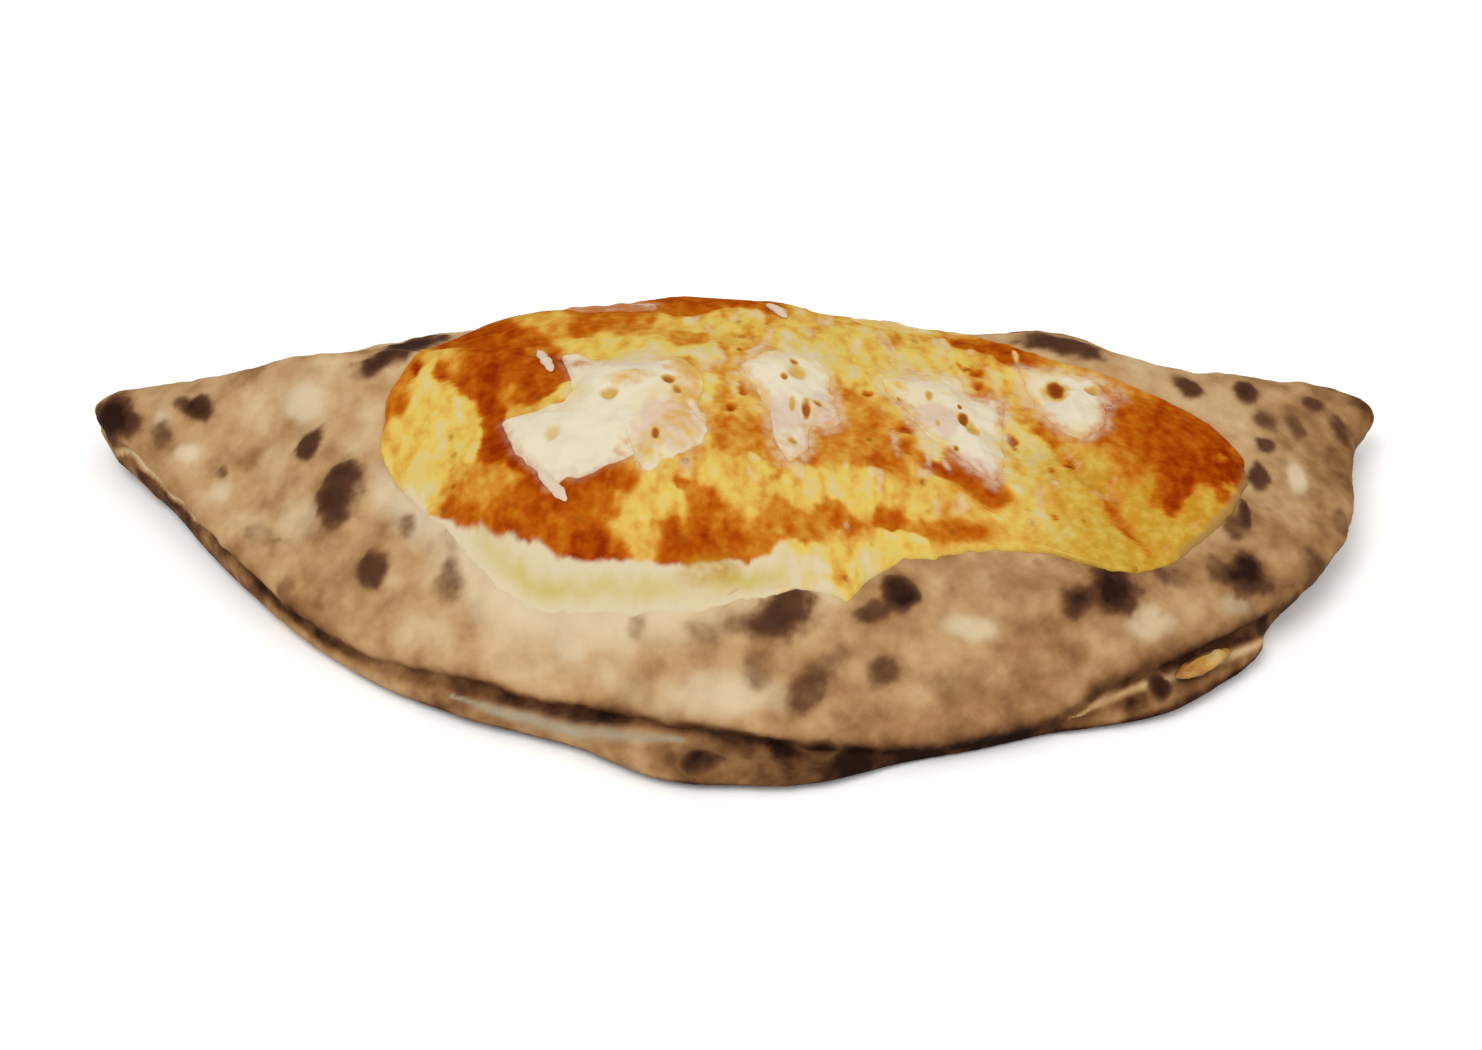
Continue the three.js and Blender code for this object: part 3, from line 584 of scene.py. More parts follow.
class Nodes:
    """A shader tree being built. Each value is a number, a colour or the output that feeds it."""

    def __init__(self, tree):
        self.tree = tree

    def put(self, kind, sockets=None, **settings):
        made = self.tree.nodes.new(kind)
        for key, value in settings.items():
            setattr(made, key, value)
        for key, value in (sockets or {}).items():
            if isinstance(value, bpy.types.NodeSocket):
                self.tree.links.new(value, made.inputs[key])
            else:
                made.inputs[key].default_value = value
        return made

    def effect(self, group, **sockets):
        """Places a shared effect and gives its result."""
        return self.put("ShaderNodeGroup", sockets, node_tree=group).outputs[0]

    def calc(self, operation, *values):
        return self.put("ShaderNodeMath", dict(enumerate(values)), operation=operation).outputs[0]

    def plus(self, first, second):
        return self.calc("ADD", first, second)

    def less(self, first, second):
        return self.calc("SUBTRACT", first, second)

    def times(self, first, second):
        return self.calc("MULTIPLY", first, second)

    def blend(self, factor, first, second):
        """Mixes two colours."""
        return self.put("ShaderNodeMix", {0: factor, 6: first, 7: second}, data_type="RGBA").outputs[2]

    def ramp(self, factor, *stops):
        """A run of colours, each with its place on the run before it."""
        made = self.put("ShaderNodeValToRGB", {0: factor})
        band = made.color_ramp.elements
        while len(band) < len(stops):
            band.new(0.5)
        for element, (place, *colour) in zip(band, stops):
            element.position = place
            element.color = tone(*colour)
        return made.outputs[0]

    def span(self, value, low, high, to_low=0.0, to_high=1.0, kind="SMOOTHSTEP"):
        """Moves a value from one span of numbers to another."""
        sockets = {0: value, 1: low, 2: high, 3: to_low, 4: to_high}
        return self.put("ShaderNodeMapRange", sockets, interpolation_type=kind).outputs[0]

    def kept(self, name):
        """The numbers that the piece keeps for its points."""
        return self.put("ShaderNodeAttribute", attribute_name=name).outputs["Fac"]

    def where(self):
        return self.put("ShaderNodeTexCoord").outputs["Object"]

    def scale(self, size):
        """The scale at which a pattern's swells are size millimetres wide."""
        return self.calc("DIVIDE", 1000.0, size)

    def cloud(self, size, detail, roughness):
        """Cloudy unevenness about size millimetres wide."""
        place = {"Vector": self.where(), "Scale": self.scale(size)}
        return self.put("ShaderNodeTexNoise", {**place, "Detail": detail, "Roughness": roughness}).outputs[0]


class Effect(Nodes):
    """A shader effect being built, with its named inputs and their starting values."""

    def __init__(self, name, result, kind="NodeSocketFloat", **inputs):
        super().__init__(bpy.data.node_groups.new(name, "ShaderNodeTree"))
        for label, value in inputs.items():
            socket = self.tree.interface.new_socket(label, in_out="INPUT", socket_type="NodeSocketFloat")
            socket.default_value = value
        self.tree.interface.new_socket(result, in_out="OUTPUT", socket_type=kind)
        self.given = self.tree.nodes.new("NodeGroupInput").outputs
        self.result = self.tree.nodes.new("NodeGroupOutput").inputs[result]

    def giving(self, value):
        """Ends the effect: value is what it gives."""
        self.tree.links.new(value, self.result)
        return self.tree


def mottling():
    """Cloudy unevenness from 0 to 1, whose clouds are Size millimetres wide."""
    made = Effect("mottling", "Cloud", Size=10.0, Detail=3.0)
    cloud = made.cloud(made.given["Size"], made.given["Detail"], 0.55)
    return made.giving(made.span(cloud, 0.28, 0.72, kind="LINEAR"))


def ragged_mask():
    """Breaks up the soft edge of a mask with fine unevenness."""
    made = Effect("ragged_mask", "Mask", Mask=0.0, Size=3.0, Breakup=0.5, Softness=0.3)
    mask, size, breakup, softness = (made.given[i] for i in range(4))
    broken = made.plus(mask, made.times(made.less(made.cloud(size, 4.0, 0.6), 0.5), breakup))
    edge = made.span(broken, made.less(0.5, softness), made.plus(0.5, softness))
    return made.giving(made.times(edge, made.span(mask, 0.0, 0.12)))


def specks():
    """Scattered round specks about Size millimetres apart; Share is the part of them that shows."""
    made = Effect("specks", "Mask", Size=4.0, Share=0.4, Width=0.3)
    size, share, width = (made.given[i] for i in range(3))
    where, scale = made.where(), made.scale(size)
    wobble = made.put("ShaderNodeTexNoise", {"Vector": where, "Scale": made.times(scale, 2.2)}).outputs[1]
    sockets = {0: wobble, 1: (0.6 * MM,) * 3, 2: where}
    bent = made.put("ShaderNodeVectorMath", sockets, operation="MULTIPLY_ADD").outputs[0]
    cells = made.put("ShaderNodeTexVoronoi", {"Vector": bent, "Scale": scale}).outputs
    lot = made.put("ShaderNodeSeparateColor", {0: cells["Color"]}).outputs[0]
    dot = made.span(cells["Distance"], made.plus(width, 0.12), width)
    return made.giving(made.times(dot, made.calc("LESS_THAN", lot, share)))


def fine_grain():
    """Height of the finest grain: soft swells with small pits."""
    made = Effect("fine_grain", "Height", Size=1.5, Pits=0.4)
    size, depth = made.given[0], made.given[1]
    sockets = {"Vector": made.where(), "Scale": made.times(made.scale(size), 0.8)}
    cells = made.put("ShaderNodeTexVoronoi", sockets).outputs
    pits = made.times(made.span(cells["Distance"], 0.32, 0.1), depth)
    return made.giving(made.less(made.cloud(size, 4.0, 0.6), pits))


def topping_tone():
    """The topping's colour by Warmth, from pale cheese over yellow and orange to deep tomato."""
    made = Effect("topping_tone", "Colour", "NodeSocketColor", Warmth=0.5)
    cheese = [(0.0, 230, 212, 176), (0.14, 228, 205, 140), (0.28, 236, 203, 96), (0.42, 229, 179, 80)]
    tomato = [(0.56, 217, 146, 48), (0.7, 200, 111, 20), (0.84, 182, 80, 8), (1.0, 148, 46, 3)]
    return made.giving(made.ramp(made.given[0], *cheese, *tomato))


MOTTLING, RAGGED, SPECKS, GRAIN = mottling(), ragged_mask(), specks(), fine_grain()
TOPPING_TONE = topping_tone()


class Finish(Nodes):
    """A material being built; its plain colour shows where nodes don't."""

    def __init__(self, name, *plain):
        self.material = bpy.data.materials.new(name)
        self.material.use_nodes = True
        self.material.diffuse_color = tone(*plain)
        super().__init__(self.material.node_tree)
        self.shader = self.tree.nodes["Principled BSDF"].inputs

    def over(self, colour, share, *shade):
        """A plain shade laid over a colour, where share is 1."""
        return self.blend(share, colour, tone(*shade))

    def ragged(self, name, size, breakup, softness):
        """A kept mask with its edge broken up."""
        return self.effect(RAGGED, Mask=self.kept(name), Size=size, Breakup=breakup, Softness=softness)

    def done(self, colour, uneven, roughness, specular, grain, pits, depth):
        """Feeds the shader: the colour, a roughness between two values that follows the unevenness, the
        gloss, and the finest grain, of pitted swells grain millimetres wide and depth millimetres deep.
        """
        self.tree.links.new(colour, self.shader["Base Color"])
        self.tree.links.new(self.span(uneven, 0.0, 1.0, *roughness, "LINEAR"), self.shader["Roughness"])
        self.shader["Specular IOR Level"].default_value = specular
        height = self.effect(GRAIN, Size=grain, Pits=pits)
        relief = self.put("ShaderNodeBump", {"Height": height, "Strength": 1.0, "Distance": depth * MM})
        self.tree.links.new(relief.outputs[0], self.shader["Normal"])
        return self.material


def crust_finish():
    made = Finish("baked_crust", 206, 170, 128)
    small = made.effect(MOTTLING, Size=8.0, Detail=5.0)
    broad = made.effect(MOTTLING, Size=24.0, Detail=3.0)
    cloud = made.plus(made.times(broad, 0.45), made.times(small, 0.55))
    # The kept darkness holds browning and painted shade alike.
    toast = made.plus(made.times(made.less(cloud, 0.5), 0.5), made.kept("toast"))
    light = [(0.0, 236, 216, 178), (0.25, 221, 189, 143), (0.45, 201, 160, 112)]
    dark = [(0.62, 168, 125, 80), (0.78, 124, 83, 50), (0.9, 80, 49, 30), (1.0, 40, 23, 15)]
    baked = made.ramp(toast, *light, *dark)
    pale = made.ragged("pale", 9.0, 0.5, 0.5)
    baked = made.over(baked, made.times(pale, 0.78), 236, 218, 182)
    freckle = made.effect(SPECKS, Size=9.0, Share=0.2, Width=0.06)
    freckle = made.times(freckle, made.span(made.kept("toast"), 0.62, 0.5, 0.0, 0.4))
    baked = made.over(baked, made.times(freckle, made.less(1.0, pale)), 138, 96, 60)
    patchy = made.effect(MOTTLING, Size=5.0, Detail=3.0)
    # Scorch spots, with a little painted shadow beside the topping's rim.
    scorch = made.plus(made.kept("scorch"), made.times(made.less(patchy, 0.5), 0.2))
    browned = [(0.0, 178, 134, 86), (0.3, 152, 110, 68), (0.55, 112, 73, 45)]
    char = made.ramp(scorch, *browned, (0.82, 80, 51, 35), (1.0, 46, 25, 16))
    baked = made.blend(made.span(scorch, 0.05, 0.72), baked, char)
    baked = made.over(baked, made.times(made.ragged("flour", 4.0, 0.4, 0.5), 0.8), 180, 172, 148)
    return made.done(baked, small, (0.66, 0.86), specular=0.03, grain=1.6, pits=0.35, depth=0.22)


def topping_finish():
    made = Finish("baked_topping", 214, 140, 50)
    fine = made.effect(MOTTLING, Size=2.6, Detail=4.0)
    warmth = made.kept("warmth")
    shift = made.times(made.times(made.less(fine, 0.5), 0.2), made.span(warmth, 0.05, 0.4, 0.3, 1.0))
    colour = made.effect(TOPPING_TONE, Warmth=made.plus(warmth, shift))
    pale_edge = made.blend(made.kept("olive"), tone(230, 212, 176), tone(214, 194, 116))
    colour = made.blend(made.kept("margin"), colour, pale_edge)
    golden = made.times(made.kept("golden"), made.span(fine, 0.0, 1.0, 0.3, 1.0, "LINEAR"))
    colour = made.over(colour, golden, 196, 148, 28)
    dots = made.times(made.effect(SPECKS, Size=5.6, Share=0.45, Width=0.1), made.kept("browned"))
    colour = made.over(colour, made.times(dots, 0.8), 160, 86, 20)
    colour = made.over(colour, made.times(made.ragged("milky", 2.2, 0.5, 0.5), 0.85), 232, 210, 174)
    # Tan along the topping's bunched-up rim at the right: partly its own colour, partly a painted highlight
    # on its edge.
    colour = made.over(colour, made.times(made.kept("rim"), 0.85), 178, 136, 80)
    # Painted shadow along the fold in the topping.
    colour = made.over(colour, made.ragged("scorch", 3.0, 0.5, 0.3), 140, 82, 26)
    gloss = made.effect(MOTTLING, Size=5.0, Detail=2.0)
    return made.done(colour, gloss, (0.36, 0.56), specular=0.0, grain=1.3, pits=0.25, depth=0.22)


def mozzarella_finish():
    made = Finish("melted_mozzarella", 236, 228, 208)
    broad = made.effect(MOTTLING, Size=12.0, Detail=2.0)
    fine = made.effect(MOTTLING, Size=2.6, Detail=4.0)
    colour = made.ramp(broad, (0.0, 234, 219, 192), (0.5, 241, 229, 200), (1.0, 235, 215, 168))
    colour = made.over(colour, made.times(made.ragged("pink", 4.0, 0.6, 0.35), 0.7), 226, 198, 178)
    thin = made.kept("thin")
    shift = made.times(made.less(fine, 0.5), made.span(thin, 0.05, 0.4, 0.0, 0.6))
    under = made.effect(TOPPING_TONE, Warmth=made.kept("warmth"))
    colour = made.blend(made.span(made.plus(thin, shift), 0.05, 1.0, 0.0, 0.92, "LINEAR"), colour, under)
    hole = made.kept("hole")
    golden = [(0.0, 226, 200, 120), (0.35, 220, 178, 92)]
    inside = made.ramp(hole, *golden, (0.65, 178, 104, 34), (1.0, 140, 60, 14))
    colour = made.blend(made.span(hole, 0.02, 0.36), colour, inside)
    return made.done(colour, fine, (0.3, 0.5), specular=0.03, grain=1.8, pits=0.15, depth=0.16)


def leaked_finish():
    made = Finish("leaked_filling", 214, 160, 70)
    fine = made.effect(MOTTLING, Size=3.0, Detail=4.0)
    level = made.plus(made.kept("pale"), made.times(fine, 0.4))
    golden = [(0.0, 168, 104, 24), (0.3, 198, 140, 42)]
    colour = made.ramp(level, *golden, (0.6, 212, 170, 86), (1.0, 214, 194, 150))
    colour = made.over(colour, made.kept("browned"), 112, 70, 36)
    return made.done(colour, fine, (0.35, 0.6), specular=0.5, grain=1.2, pits=0.3, depth=0.2)


# ---------------------------------------------------------------- the dough


def crease_line(tree):
    """Where the crease runs along the front: x, y, z, its depth, and y of the edge over it."""
    beside, shallowest = 999.0, 0.3
    stations = []
    heights = np.arange(0.5, 17, 0.25)
    for x in np.arange(-140, 135, 2.0):
        fronts = [front_of(tree, x, z) for z in heights]
        ys = np.array([beside if y is None else y for y in fronts])
        best = (0.0, 0)
        for i in range(1, len(ys) - 1):
            depth = min(ys[i] - ys[:i].min(), ys[i] - ys[i + 1 :].min())
            if ys[i] < beside and depth > best[0]:
                best = (depth, i)
        depth, i = best
        if depth > shallowest:
            stations.append((x, ys[i] - depth, heights[i], depth, front_of(tree, x, heights[i] + EDGE_RISE)))
    line = np.array(stations)
    for _ in range(2):
        line[1:-1] = (line[:-2] + line[1:-1] + line[2:]) / 3
    return line


class Seam:
    """How the dough's points lie about the seam along its front."""

    def __init__(self, points, normals):
        self.x, y, z = points.T.copy()
        mouth_y, crease_z, deep, edge_y = columns(crease_line(tree_of(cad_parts["crust"].data)), self.x)
        ends = smooth(-147, -141, self.x) * smooth(134, 124, self.x)
        self.front = smooth(7, 3, y - mouth_y) * smooth(0.5, 0.0, normals[:, 1]) * ends
        edge_at = edge_y * SLOPE_FRONT + (crease_z + EDGE_RISE) * SLOPE_UP
        self.drop = edge_at - (y * SLOPE_FRONT + z * SLOPE_UP) + 0.35 * swell(points, 7, 47)
        at_seam = columns(SEAM, self.x)
        centre, half, self.crease_tone, self.lip_tone, self.foot_tone, self.foot_height, self.shade = at_seam
        below = self.drop - centre
        marked = self.front * np.maximum(smooth(0.2, 1.5, deep), smooth(-102, -112, self.x))
        # The crease's dark band, partly browning and partly painted shadow; it is also carved deeper.
        self.groove = bell(below / half) * marked
        self.lip = smooth(-0.6, 0.8, below) * marked
        # Where the painted shade over the crease falls.
        self.above = np.where(below < 0, bell(below / 5.0), 0) * self.front

    def run(self, table):
        """How far each point is into a run along the seam."""
        at, half = columns(table, self.x, left=0, right=0)
        return bell((self.drop - at) / np.maximum(half, 0.1)) * (half > 0) * self.front


def blisters(points, open_points, draw):
    """Height of the round blisters over the open crust."""
    raised = np.zeros(len(points))
    for _ in range(BLISTER_COUNT):
        at = points[open_points[draw.randrange(len(open_points))]]
        wide = draw.uniform(*BLISTER_WIDTHS)
        away = np.linalg.norm(points - at, axis=1) / wide
        raised += wide * draw.uniform(*BLISTER_RISES) * bell(1.6 * away)
    return raised


def scorches_and_shadows(points, covered, warp, draw):
    """How scorched each point is, with painted shadow beside the topping's rim: the spots that the table
    gives, and scattered ones behind.
    """
    scorch = np.zeros(len(points))
    for spot in SCORCH_AND_SHADOW:
        scorch = 1 - (1 - scorch) * (1 - spot_share(points, spot, warp))
    back = (points[:, 1] > 48) & (points[:, 2] > 8)
    behind = np.flatnonzero(back & (scorch < 0.05) & (covered < 0.2))
    for _ in range(BACK_SCORCHES):
        at = points[behind[draw.randrange(len(behind))]]
        size = (draw.uniform(2.5, 7), draw.uniform(2.5, 5.5))
        spot = (*at, *size, draw.uniform(-40, 40), draw.uniform(0.4, 1))
        scorch = np.maximum(scorch, spot_share(points, spot, warp))
    return scorch


def toast_and_shade_of(points, normals, seam):
    """How dark each point of the crust is, from 0 for pale dough to 1 for burnt: how far it is baked, with
    painted shade by the crease and on the lower and right sides.
    """
    x, y, z = points.T
    patchy, blotch = swell(points, 24, 41), 0.16 * swell(points, 6, 44, 3)
    toast = TOAST + 0.11 * patchy + 0.15 * swell(points, 9, 42, 3)
    # Broad darkening: browning, and painted shade on the right side.
    for gain, across, back in BROWNING_AND_SHADE:
        toast += gain * smooth(*across, x) * (smooth(*back, y) if back else 1)
    toast -= 0.08 * smooth(30, 0, abs(x - 5)) * smooth(0, -30, y)
    # Painted shade above the crease, under the dough's overhanging edge.
    toast += seam.shade * seam.above * (0.8 + 0.7 * swell(points, 10, 43))
    # Darker on faces that turn down and low near the floor: partly browning, partly painted shade.
    toast += 0.2 * smooth(0.1, -0.7, normals[:, 2])
    ground = smooth(4.0, 0.4, z + 0.8 * patchy) * smooth(0.4, -0.2, normals[:, 2])
    toast += 0.5 * ground * (1 - seam.front)
    foot = smooth(seam.foot_height, seam.foot_height - 2.4, z + 0.5 * patchy) * seam.front
    toast = laid(toast, seam.lip, seam.lip_tone + blotch)
    toast = laid(toast, foot * smooth(0.8, 0.3, normals[:, 2]), seam.foot_tone + 0.3 * blotch)
    # The crease's dark band: browning with painted shadow.
    toast = laid(toast, np.clip(1.15 * seam.groove, 0, 1), seam.crease_tone + 0.4 * blotch)
    # Lighter along the lip's rolled top edge: a painted highlight.
    return toast - 0.5 * seam.run(LIP_EDGE_HIGHLIGHT)


def make_dough(topping):
    piece = rounded_copy("crust", "crust_dough", DOUGH_VOXEL)
    points, normals = read(piece.data, "co") / MM, read(piece.data, "normal")
    seam = Seam(points, normals)
    covered = smooth(0, COVER_MARGIN, topping.inset(points[:, :2])) * smooth(0.0, 0.3, normals[:, 2])
    open_top = (1 - covered) * smooth(0.5, 4, points[:, 2])

    # Relief: blisters, raised scorches, a skin of fine unevenness, and wrinkles near the seam.
    draw = random.Random(11)
    warp = 0.38 * swell(points, 7, 21)
    raised = blisters(points, np.flatnonzero((points[:, 2] > 5) & (covered < 0.2)), draw)
    scorch = scorches_and_shadows(points, covered, warp + 0.16 * swell(points, 2.2, 22), draw)
    raised += 0.55 * smooth(0.2, 0.9, scorch)
    raised += SKIN_HEIGHT * swell(points, 3.0, 31, 3) + 0.45 * swell(points, 11, 32)
    raised += 0.3 * swell(points * (1.0, 0.35, 0.35), 4.5, 33) * (seam.above + seam.lip)
    points += normals * (raised * open_top - COVER_SINK * covered)[:, None]
    low, high = (np.array(c) / MM for c in CAD_BOX)
    for tip, start in zip((low[0], high[0]), TIP_STARTS):
        reached = points[:, 0].min() if tip < 0 else points[:, 0].max()
        past = (points[:, 0] - start) * np.sign(tip) > 0
        points[past, 0] = start + (points[past, 0] - start) * (tip - start) / (reached - start)
    carve = CREASE_CARVE * seam.groove * (0.8 + 0.3 * swell(points, 9, 34, 1))
    points -= normals * (1.0, 1.0, 0.0) * carve[:, None]
    points = np.clip(points, low + BOX_GAP, high - BOX_GAP)
    write_points(piece.data, points)

    # Tones.
    x, y = points[:, 0], points[:, 1]
    halo = 0.8 * smooth(-9, -1, topping.inset(points[:, :2])) * smooth(20, -20, x) * smooth(10, -10, y)
    # The lip's rolled top edge also gets a touch of the pale tone, as painted highlight.
    pale = np.maximum(halo, 0.1 * seam.run(LIP_EDGE_HIGHLIGHT))
    for spot in PALE:
        pale = np.maximum(pale, spot_share(points, spot, warp))
    flour = seam.run(FLOUR_RUN) * (0.8 + 0.4 * swell(points * (0.3, 1.0, 3.0), 4, 48))
    keep(piece.data, toast=toast_and_shade_of(points, normals, seam), pale=pale, scorch=scorch, flour=flour)
    finish_piece(piece, crust_finish(), "crust", "crust")
    return piece


# ---------------------------------------------------------------- the topping


def tones_at(plan):
    """The topping's warmth at plan points, before fine unevenness."""
    flat = flat_points(plan)
    bend = np.column_stack([1.5 * swell(flat, 7, 51), 2.2 * swell(flat, 7, 52)])
    bend += np.column_stack([0.7 * swell(flat, 2.4, 53), 1.0 * swell(flat, 2.4, 54)])
    seen = plan + bend
    total = np.full(len(plan), 0.004)
    warmth = total * (0.46 + 0.2 * swell(flat, 9, 55))
    for x0, y0, x1, y1, wide, level in TONES:
        along = np.array([x1 - x0, (y1 - y0) * STREAK_DEPTH], float)
        off = (seen - (x0, y0)) * (1, STREAK_DEPTH)
        part = np.clip(off @ along / (along @ along), 0, 1)
        reach = np.hypot(*(off - part[:, None] * along).T) / wide
        weight = 1 / (0.3 + reach**2) ** 2.6 / wide
        total += weight
        warmth += weight * level
    warmth /= total
    for *spot, level in FLECKS:
        warmth = laid(warmth, 1 - smooth(0.3, 1.45, oval(seen, *spot)), level)
    return warmth


def fold_share(plan, half):
    """How far plan points are into the fold, had it no ends."""
    return bell((plan[:, 0] - columns(FOLD, plan[:, 1])[0]) / half)


def topping_relief(plan, bubbles):
    """Height of the swells, bubbles, strings and fold in the topping; tomato lies lower than cheese."""
    flat = flat_points(plan)
    tomato = smooth(0.55, 0.8, tones_at(plan))
    cheesy = 1 - tomato
    rise = 0.8 * swell(flat, 17, 62) + 0.35 * swell(flat, 6, 63) * (0.4 + 0.6 * cheesy)
    rise += 0.16 * swell(flat, 2.4, 64) * (0.35 + 0.65 * cheesy) - 0.35 * tomato
    for x, y, wide, tall in bubbles:
        away = oval(plan, x, y, wide, wide)
        rise += 0.32 * tall * np.where(away < 2.2, bell(1.5 * away), 0) * (0.3 + 0.7 * cheesy)
    rise -= 0.8 * fold_share(plan, 2.0) * smooth(-20, -15, plan[:, 1]) * smooth(7, 2, plan[:, 1])
    return rise + 0.25 * string_and_glint_share(plan)


def topping_edge(plan):
    """Height of the topping's rim: melted away at the front left, and bunched up at the right."""
    melted = smooth(22, -2, plan[:, 0]) * smooth(0, -14, plan[:, 1])
    return TOPPING_EDGE - melted + RIM_ROLL * bell(oval(plan, *RIM_ROLL_OVAL))


def milk_of(plan, cheesy, golden, streaked, layers):
    """How milky the topping is: in strings, partly painted glints, in clouds, and in a film round each patch
    of mozzarella.
    """
    x, y = plan.T
    flat = flat_points(plan)
    strings_and_glints = string_and_glint_share(plan + 0.5 * swell(flat, 2.5, 76)[:, None])
    strings_and_glints *= 0.75 + 0.5 * swell(flat, 1.6, 80)
    clouds = smooth(0.1, 0.6, swell(streaked, 5.0, 82, 3)) * cheesy * (1 - golden)
    milky = np.maximum(strings_and_glints, 0.6 * clouds * smooth(-30, -15, x) * smooth(-26, -16, y))
    wisps = (0.8 + 0.7 * swell(flat, 2.6, 78, 3)) * (1 - smooth(37, 40, y) * smooth(49, 46, y))
    for node, layer in layers.items():
        away = layer.inset(plan)
        soft = PATCHES[node]["soft"]
        film = soft * smooth(-1.2 - 4.2 * soft, 0.2, away) * (away < 0.4) * wisps
        milky = np.maximum(milky, film)
    return milky


def make_topping(topping, dough_tree, layers):
    draw = random.Random(61)
    ranges = ((-80, 112), (-48, 52), (0.8, 2.6), (-0.5, 1.0))  # x, y, width and rise
    bubbles = [[draw.uniform(*ends) for ends in ranges] for _ in range(BUBBLE_COUNT)]
    piece, plan, inset = topping.sheet(
        "tomato_and_cheese_layer",
        TOPPING_RINGS,
        dough_tree,
        TOPPING_THICKNESS,
        topping_edge,
        lambda plan, inset: topping_relief(plan, bubbles),
    )
    x, y = plan.T
    flat = flat_points(plan)
    streaked = flat * (1.5, 0.6, 1)
    warmth = tones_at(plan)
    cheesy = smooth(0.62, 0.45, warmth)
    warmth += (0.12 + 0.1 * cheesy) * swell(streaked, 4.2, 74, 3) + 0.05 * swell(flat, 1.5, 75)

    # The margins, pale at the front left and yellow along the rest of the front.
    width = columns(PALE_MARGIN, x)[0]
    front_left = smooth(14, 7, x) * smooth(-2, -11, y)
    ragged = inset + 0.8 * swell(flat, 6, 71) + 0.8 * swell(flat * (1.0, 0.3, 1), 2.0, 77)
    margin = front_left * smooth(width + 0.6, width - 0.5, ragged)
    olive = smooth(-58, -48, x) * bell((ragged - 3.5) / 2.0) * (0.7 + 0.5 * swell(flat, 9, 84))
    front = smooth(10, -6, y) * (1 - front_left) * smooth(26, 32, x)
    yellow = 0.7 * front * smooth(3.0, 0.5, inset + 0.9 * swell(flat, 4, 73))
    warmth = laid(warmth, yellow, 0.2 + 0.14 * smooth(30, 60, x))

    golden = 0.85 * smooth(54, 80, x) * smooth(13, -3, y) * smooth(0.62, 0.5, warmth)
    golden = np.maximum(golden, 0.9 * smooth(1.4, 0.5, oval(plan, *GOLDEN_SPOT)))
    # The fold's dark line is painted shadow.
    fold = fold_share(plan, 1.8) * smooth(-20, -14, y) * smooth(4, -3, y)
    keep(
        piece.data,
        warmth=warmth,
        margin=margin,
        olive=olive,
        browned=smooth(0.2, 0.5, warmth) * smooth(0.95, 0.7, warmth) * (1 - margin),
        golden=golden,
        # The rim: partly its own tan, partly a painted highlight on the edge.
        rim=smooth(92, 99, x) * smooth(14, 7, y) * smooth(2.0, 0.7, inset + 0.5 * swell(flat, 4, 79)),
        milky=milk_of(plan, cheesy, golden, streaked, layers),
        scorch=0.34 * fold,
    )
    finish_piece(piece, topping_finish(), "tomato_and_cheese", "tomato_and_cheese")
    return piece


# ---------------------------------------------------------------- the mozzarella


def make_patch(node, layer, carrier, material, seed):
    patch = PATCHES[node]

    def relief(plan, inset):
        flat = flat_points(plan)
        rise = 0.5 * swell(flat, 9, seed + 3) + 0.25 * swell(flat, 3.2, seed + 4)
        sunk = np.zeros(len(plan))
        for x, y, wide, deep, _ in patch["holes"]:
            hollow = 1 - smooth(0.3, 1.2, oval(plan, x, y, wide, deep))
            sunk = np.maximum(sunk, min(0.9, 0.5 * wide) * hollow)
        return rise - sunk

    piece, plan, inset = layer.sheet(
        node + "_melt",
        PATCH_RINGS,
        carrier,
        PATCH_THICKNESS,
        lambda plan: np.full(len(plan), PATCH_EDGE),
        relief,
    )
    flat = flat_points(plan)
    wobble = 0.25 * swell(flat, 2.5, seed + 5)
    # The strings, partly painted glints, also show pinkish white here.
    strings_and_glints = string_and_glint_share(plan)
    hole, pink = np.zeros(len(plan)), 0.6 * strings_and_glints
    for *spot, browning in patch["holes"]:
        hole = np.maximum(hole, browning * (1 - smooth(0.35, 1.25, oval(plan, *spot) + wobble)))
    for spot in patch["pink"]:
        pink = np.maximum(pink, 1 - smooth(0.5, 1.2, oval(plan, *spot) + wobble))
    thin = patch["soft"] * smooth(3.0, 0.0, inset + 1.3 * swell(flat, 3, seed + 6))
    streaks = 0.8 * swell(flat @ THIN_TURN, 3.0, seed + 7, 3)
    for *spot, share in patch["thinned"]:
        melted = 1 - smooth(0.4, 1.4, oval(plan, *spot) + 1.6 * wobble)
        thin = np.maximum(thin, (share + (1.25 - share) * streaks) * melted)
    keep(piece.data, hole=hole, thin=thin * (1 - 0.85 * strings_and_glints), pink=pink, warmth=tones_at(plan) - 0.06)
    finish_piece(piece, material, "mozzarella", node)


def make_shreds(carrier, material):
    """Short soft strips, each rounded and lying along what is under it."""
    whole = bmesh.new()
    for k, ends in enumerate(SHREDS):
        made = bmesh.ops.create_uvsphere(whole, u_segments=24, v_segments=30, radius=1)
        start, end = np.array(ends)
        along = (end - start) / 2
        side = np.array([-along[1], along[0]]) / np.linalg.norm(along)
        for v in made["verts"]:
            share = max(-1.0, min(1.0, v.co.z))
            unevenness = 0.35 * noise.noise((3 * share, 7 * k, 0))
            width = (SHRED_WIDTH + unevenness) * (1 - abs(share) ** 3) ** 0.5
            spread = width / max(math.hypot(v.co.x, v.co.y), 1e-6)
            spot = (start + end) / 2 + along * share + side * v.co.x * spread
            ground = height(carrier, *spot) or 0.0
            v.co = Vector((*spot, ground + SHRED_LIFT + 0.6 * v.co.y * spread)) * MM
    bmesh.ops.recalc_face_normals(whole, faces=whole.faces)
    piece = new_piece("mozzarella_shreds", whole)
    keep(piece.data, pink=0.7, thin=0, warmth=0, hole=0)
    finish_piece(piece, material, "mozzarella")


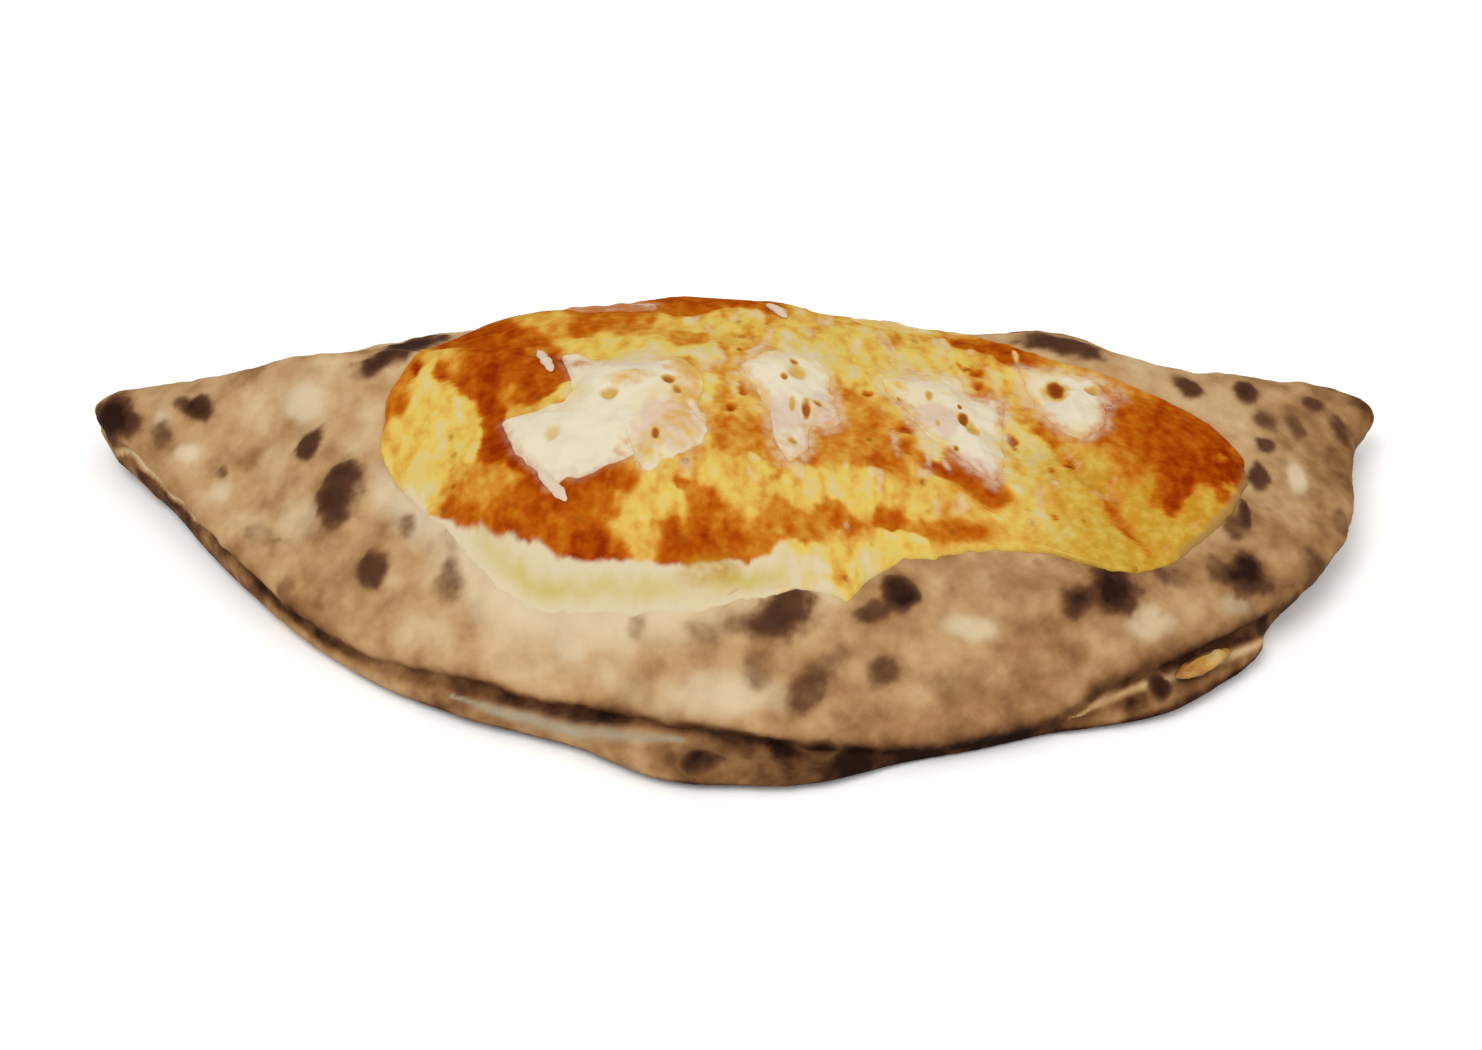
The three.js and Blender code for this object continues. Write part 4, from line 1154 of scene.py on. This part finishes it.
def make_leak(dough_tree):
    """The cheese that has run out of the seam and browned where it meets the dough."""
    piece = rounded_copy("leaked_cheese", "leaked_cheese_drop", LEAK_VOXEL)
    points, normals = read(piece.data, "co") / MM, read(piece.data, "normal")
    points += normals * (0.3 * swell(points, 3.2, 81) - 0.95)[:, None]
    write_points(piece.data, points)
    streak = bell((points[:, 2] - 9.6) / 1.1) * smooth(98, 103, points[:, 0])
    gap = np.array([dough_tree.find_nearest(Vector(p) * MM)[3] for p in points]) / MM
    browned = smooth(2.2, 0.6, gap + 0.5 * swell(points, 2.0, 83))
    keep(piece.data, pale=0.8 * streak, browned=browned)
    finish_piece(piece, leaked_finish(), "leaked_cheese", "leaked_cheese")


# ---------------------------------------------------------------- stage


def stand(name, data, place, facing):
    """Stands a lamp or a camera at a place, in metres, facing along a direction."""
    made = bpy.data.objects.new(name, data)
    made.location = place
    made.rotation_mode = "QUATERNION"
    made.rotation_quaternion = facing.to_track_quat("-Z", "Y")
    bpy.context.scene.collection.objects.link(made)
    return made


def make_stage():
    shape = bmesh.new()
    bmesh.ops.create_grid(shape, x_segments=1, y_segments=1, size=FLOOR_REACH)
    floor = new_piece("floor", shape)
    pale = Finish("pale_floor", 244, 243, 241)
    pale.shader["Base Color"].default_value = tone(253, 253, 252, 1.0)
    pale.shader["Roughness"].default_value = 0.9
    pale.shader["Specular IOR Level"].default_value = 0.1
    floor.data.materials.append(pale.material)
    world = bpy.data.worlds.new("studio")
    world.use_nodes = True
    world.node_tree.nodes["Background"].inputs[0].default_value = (1.0, 0.99, 0.97, 1.0)
    world.node_tree.nodes["Background"].inputs[1].default_value = ALL_ROUND
    bpy.context.scene.world = world
    for name, (place, width, power) in LAMPS.items():
        light = bpy.data.lights.new(name, "AREA")
        light.shape = "DISK"
        light.size = width
        light.energy = power
        stand(name, light, place, Vector((0, 0, 0.02)) - Vector(place))
    lens = bpy.data.cameras.new("camera")
    lens.lens, lens.sensor_width = LENS, SENSOR
    lens.clip_start, lens.clip_end = 0.01, 50
    back = Vector((0, -SLOPE_UP, SLOPE_FRONT))
    bpy.context.scene.camera = stand("camera", lens, (AIM + back * DISTANCE) * MM, -back)
    bpy.context.scene.view_settings.view_transform = "Standard"


# ---------------------------------------------------------------- making it

TOPPING = Layer("tomato_and_cheese", TOPPING_CENTRE, TOPPING_SPOKES, TOPPING_RAGGED, TOPPING_SEED)
MOZZARELLA = mozzarella_finish()
SEEDS = {node: PATCH_SEED + 10 * number for number, node in enumerate(PATCHES)}
LAYERS = {
    node: Layer(node, patch["centre"], PATCH_SPOKES, PATCH_RAGGED, SEEDS[node], patch.get("corner"))
    for node, patch in PATCHES.items()
}
DOUGH_TREE = tree_of(make_dough(TOPPING).data)
TOPPING_TREE = tree_of(make_topping(TOPPING, DOUGH_TREE, LAYERS).data)
for node, layer in LAYERS.items():
    make_patch(node, layer, TOPPING_TREE, MOZZARELLA, SEEDS[node])
make_shreds(TOPPING_TREE, MOZZARELLA)
make_leak(DOUGH_TREE)
make_stage()
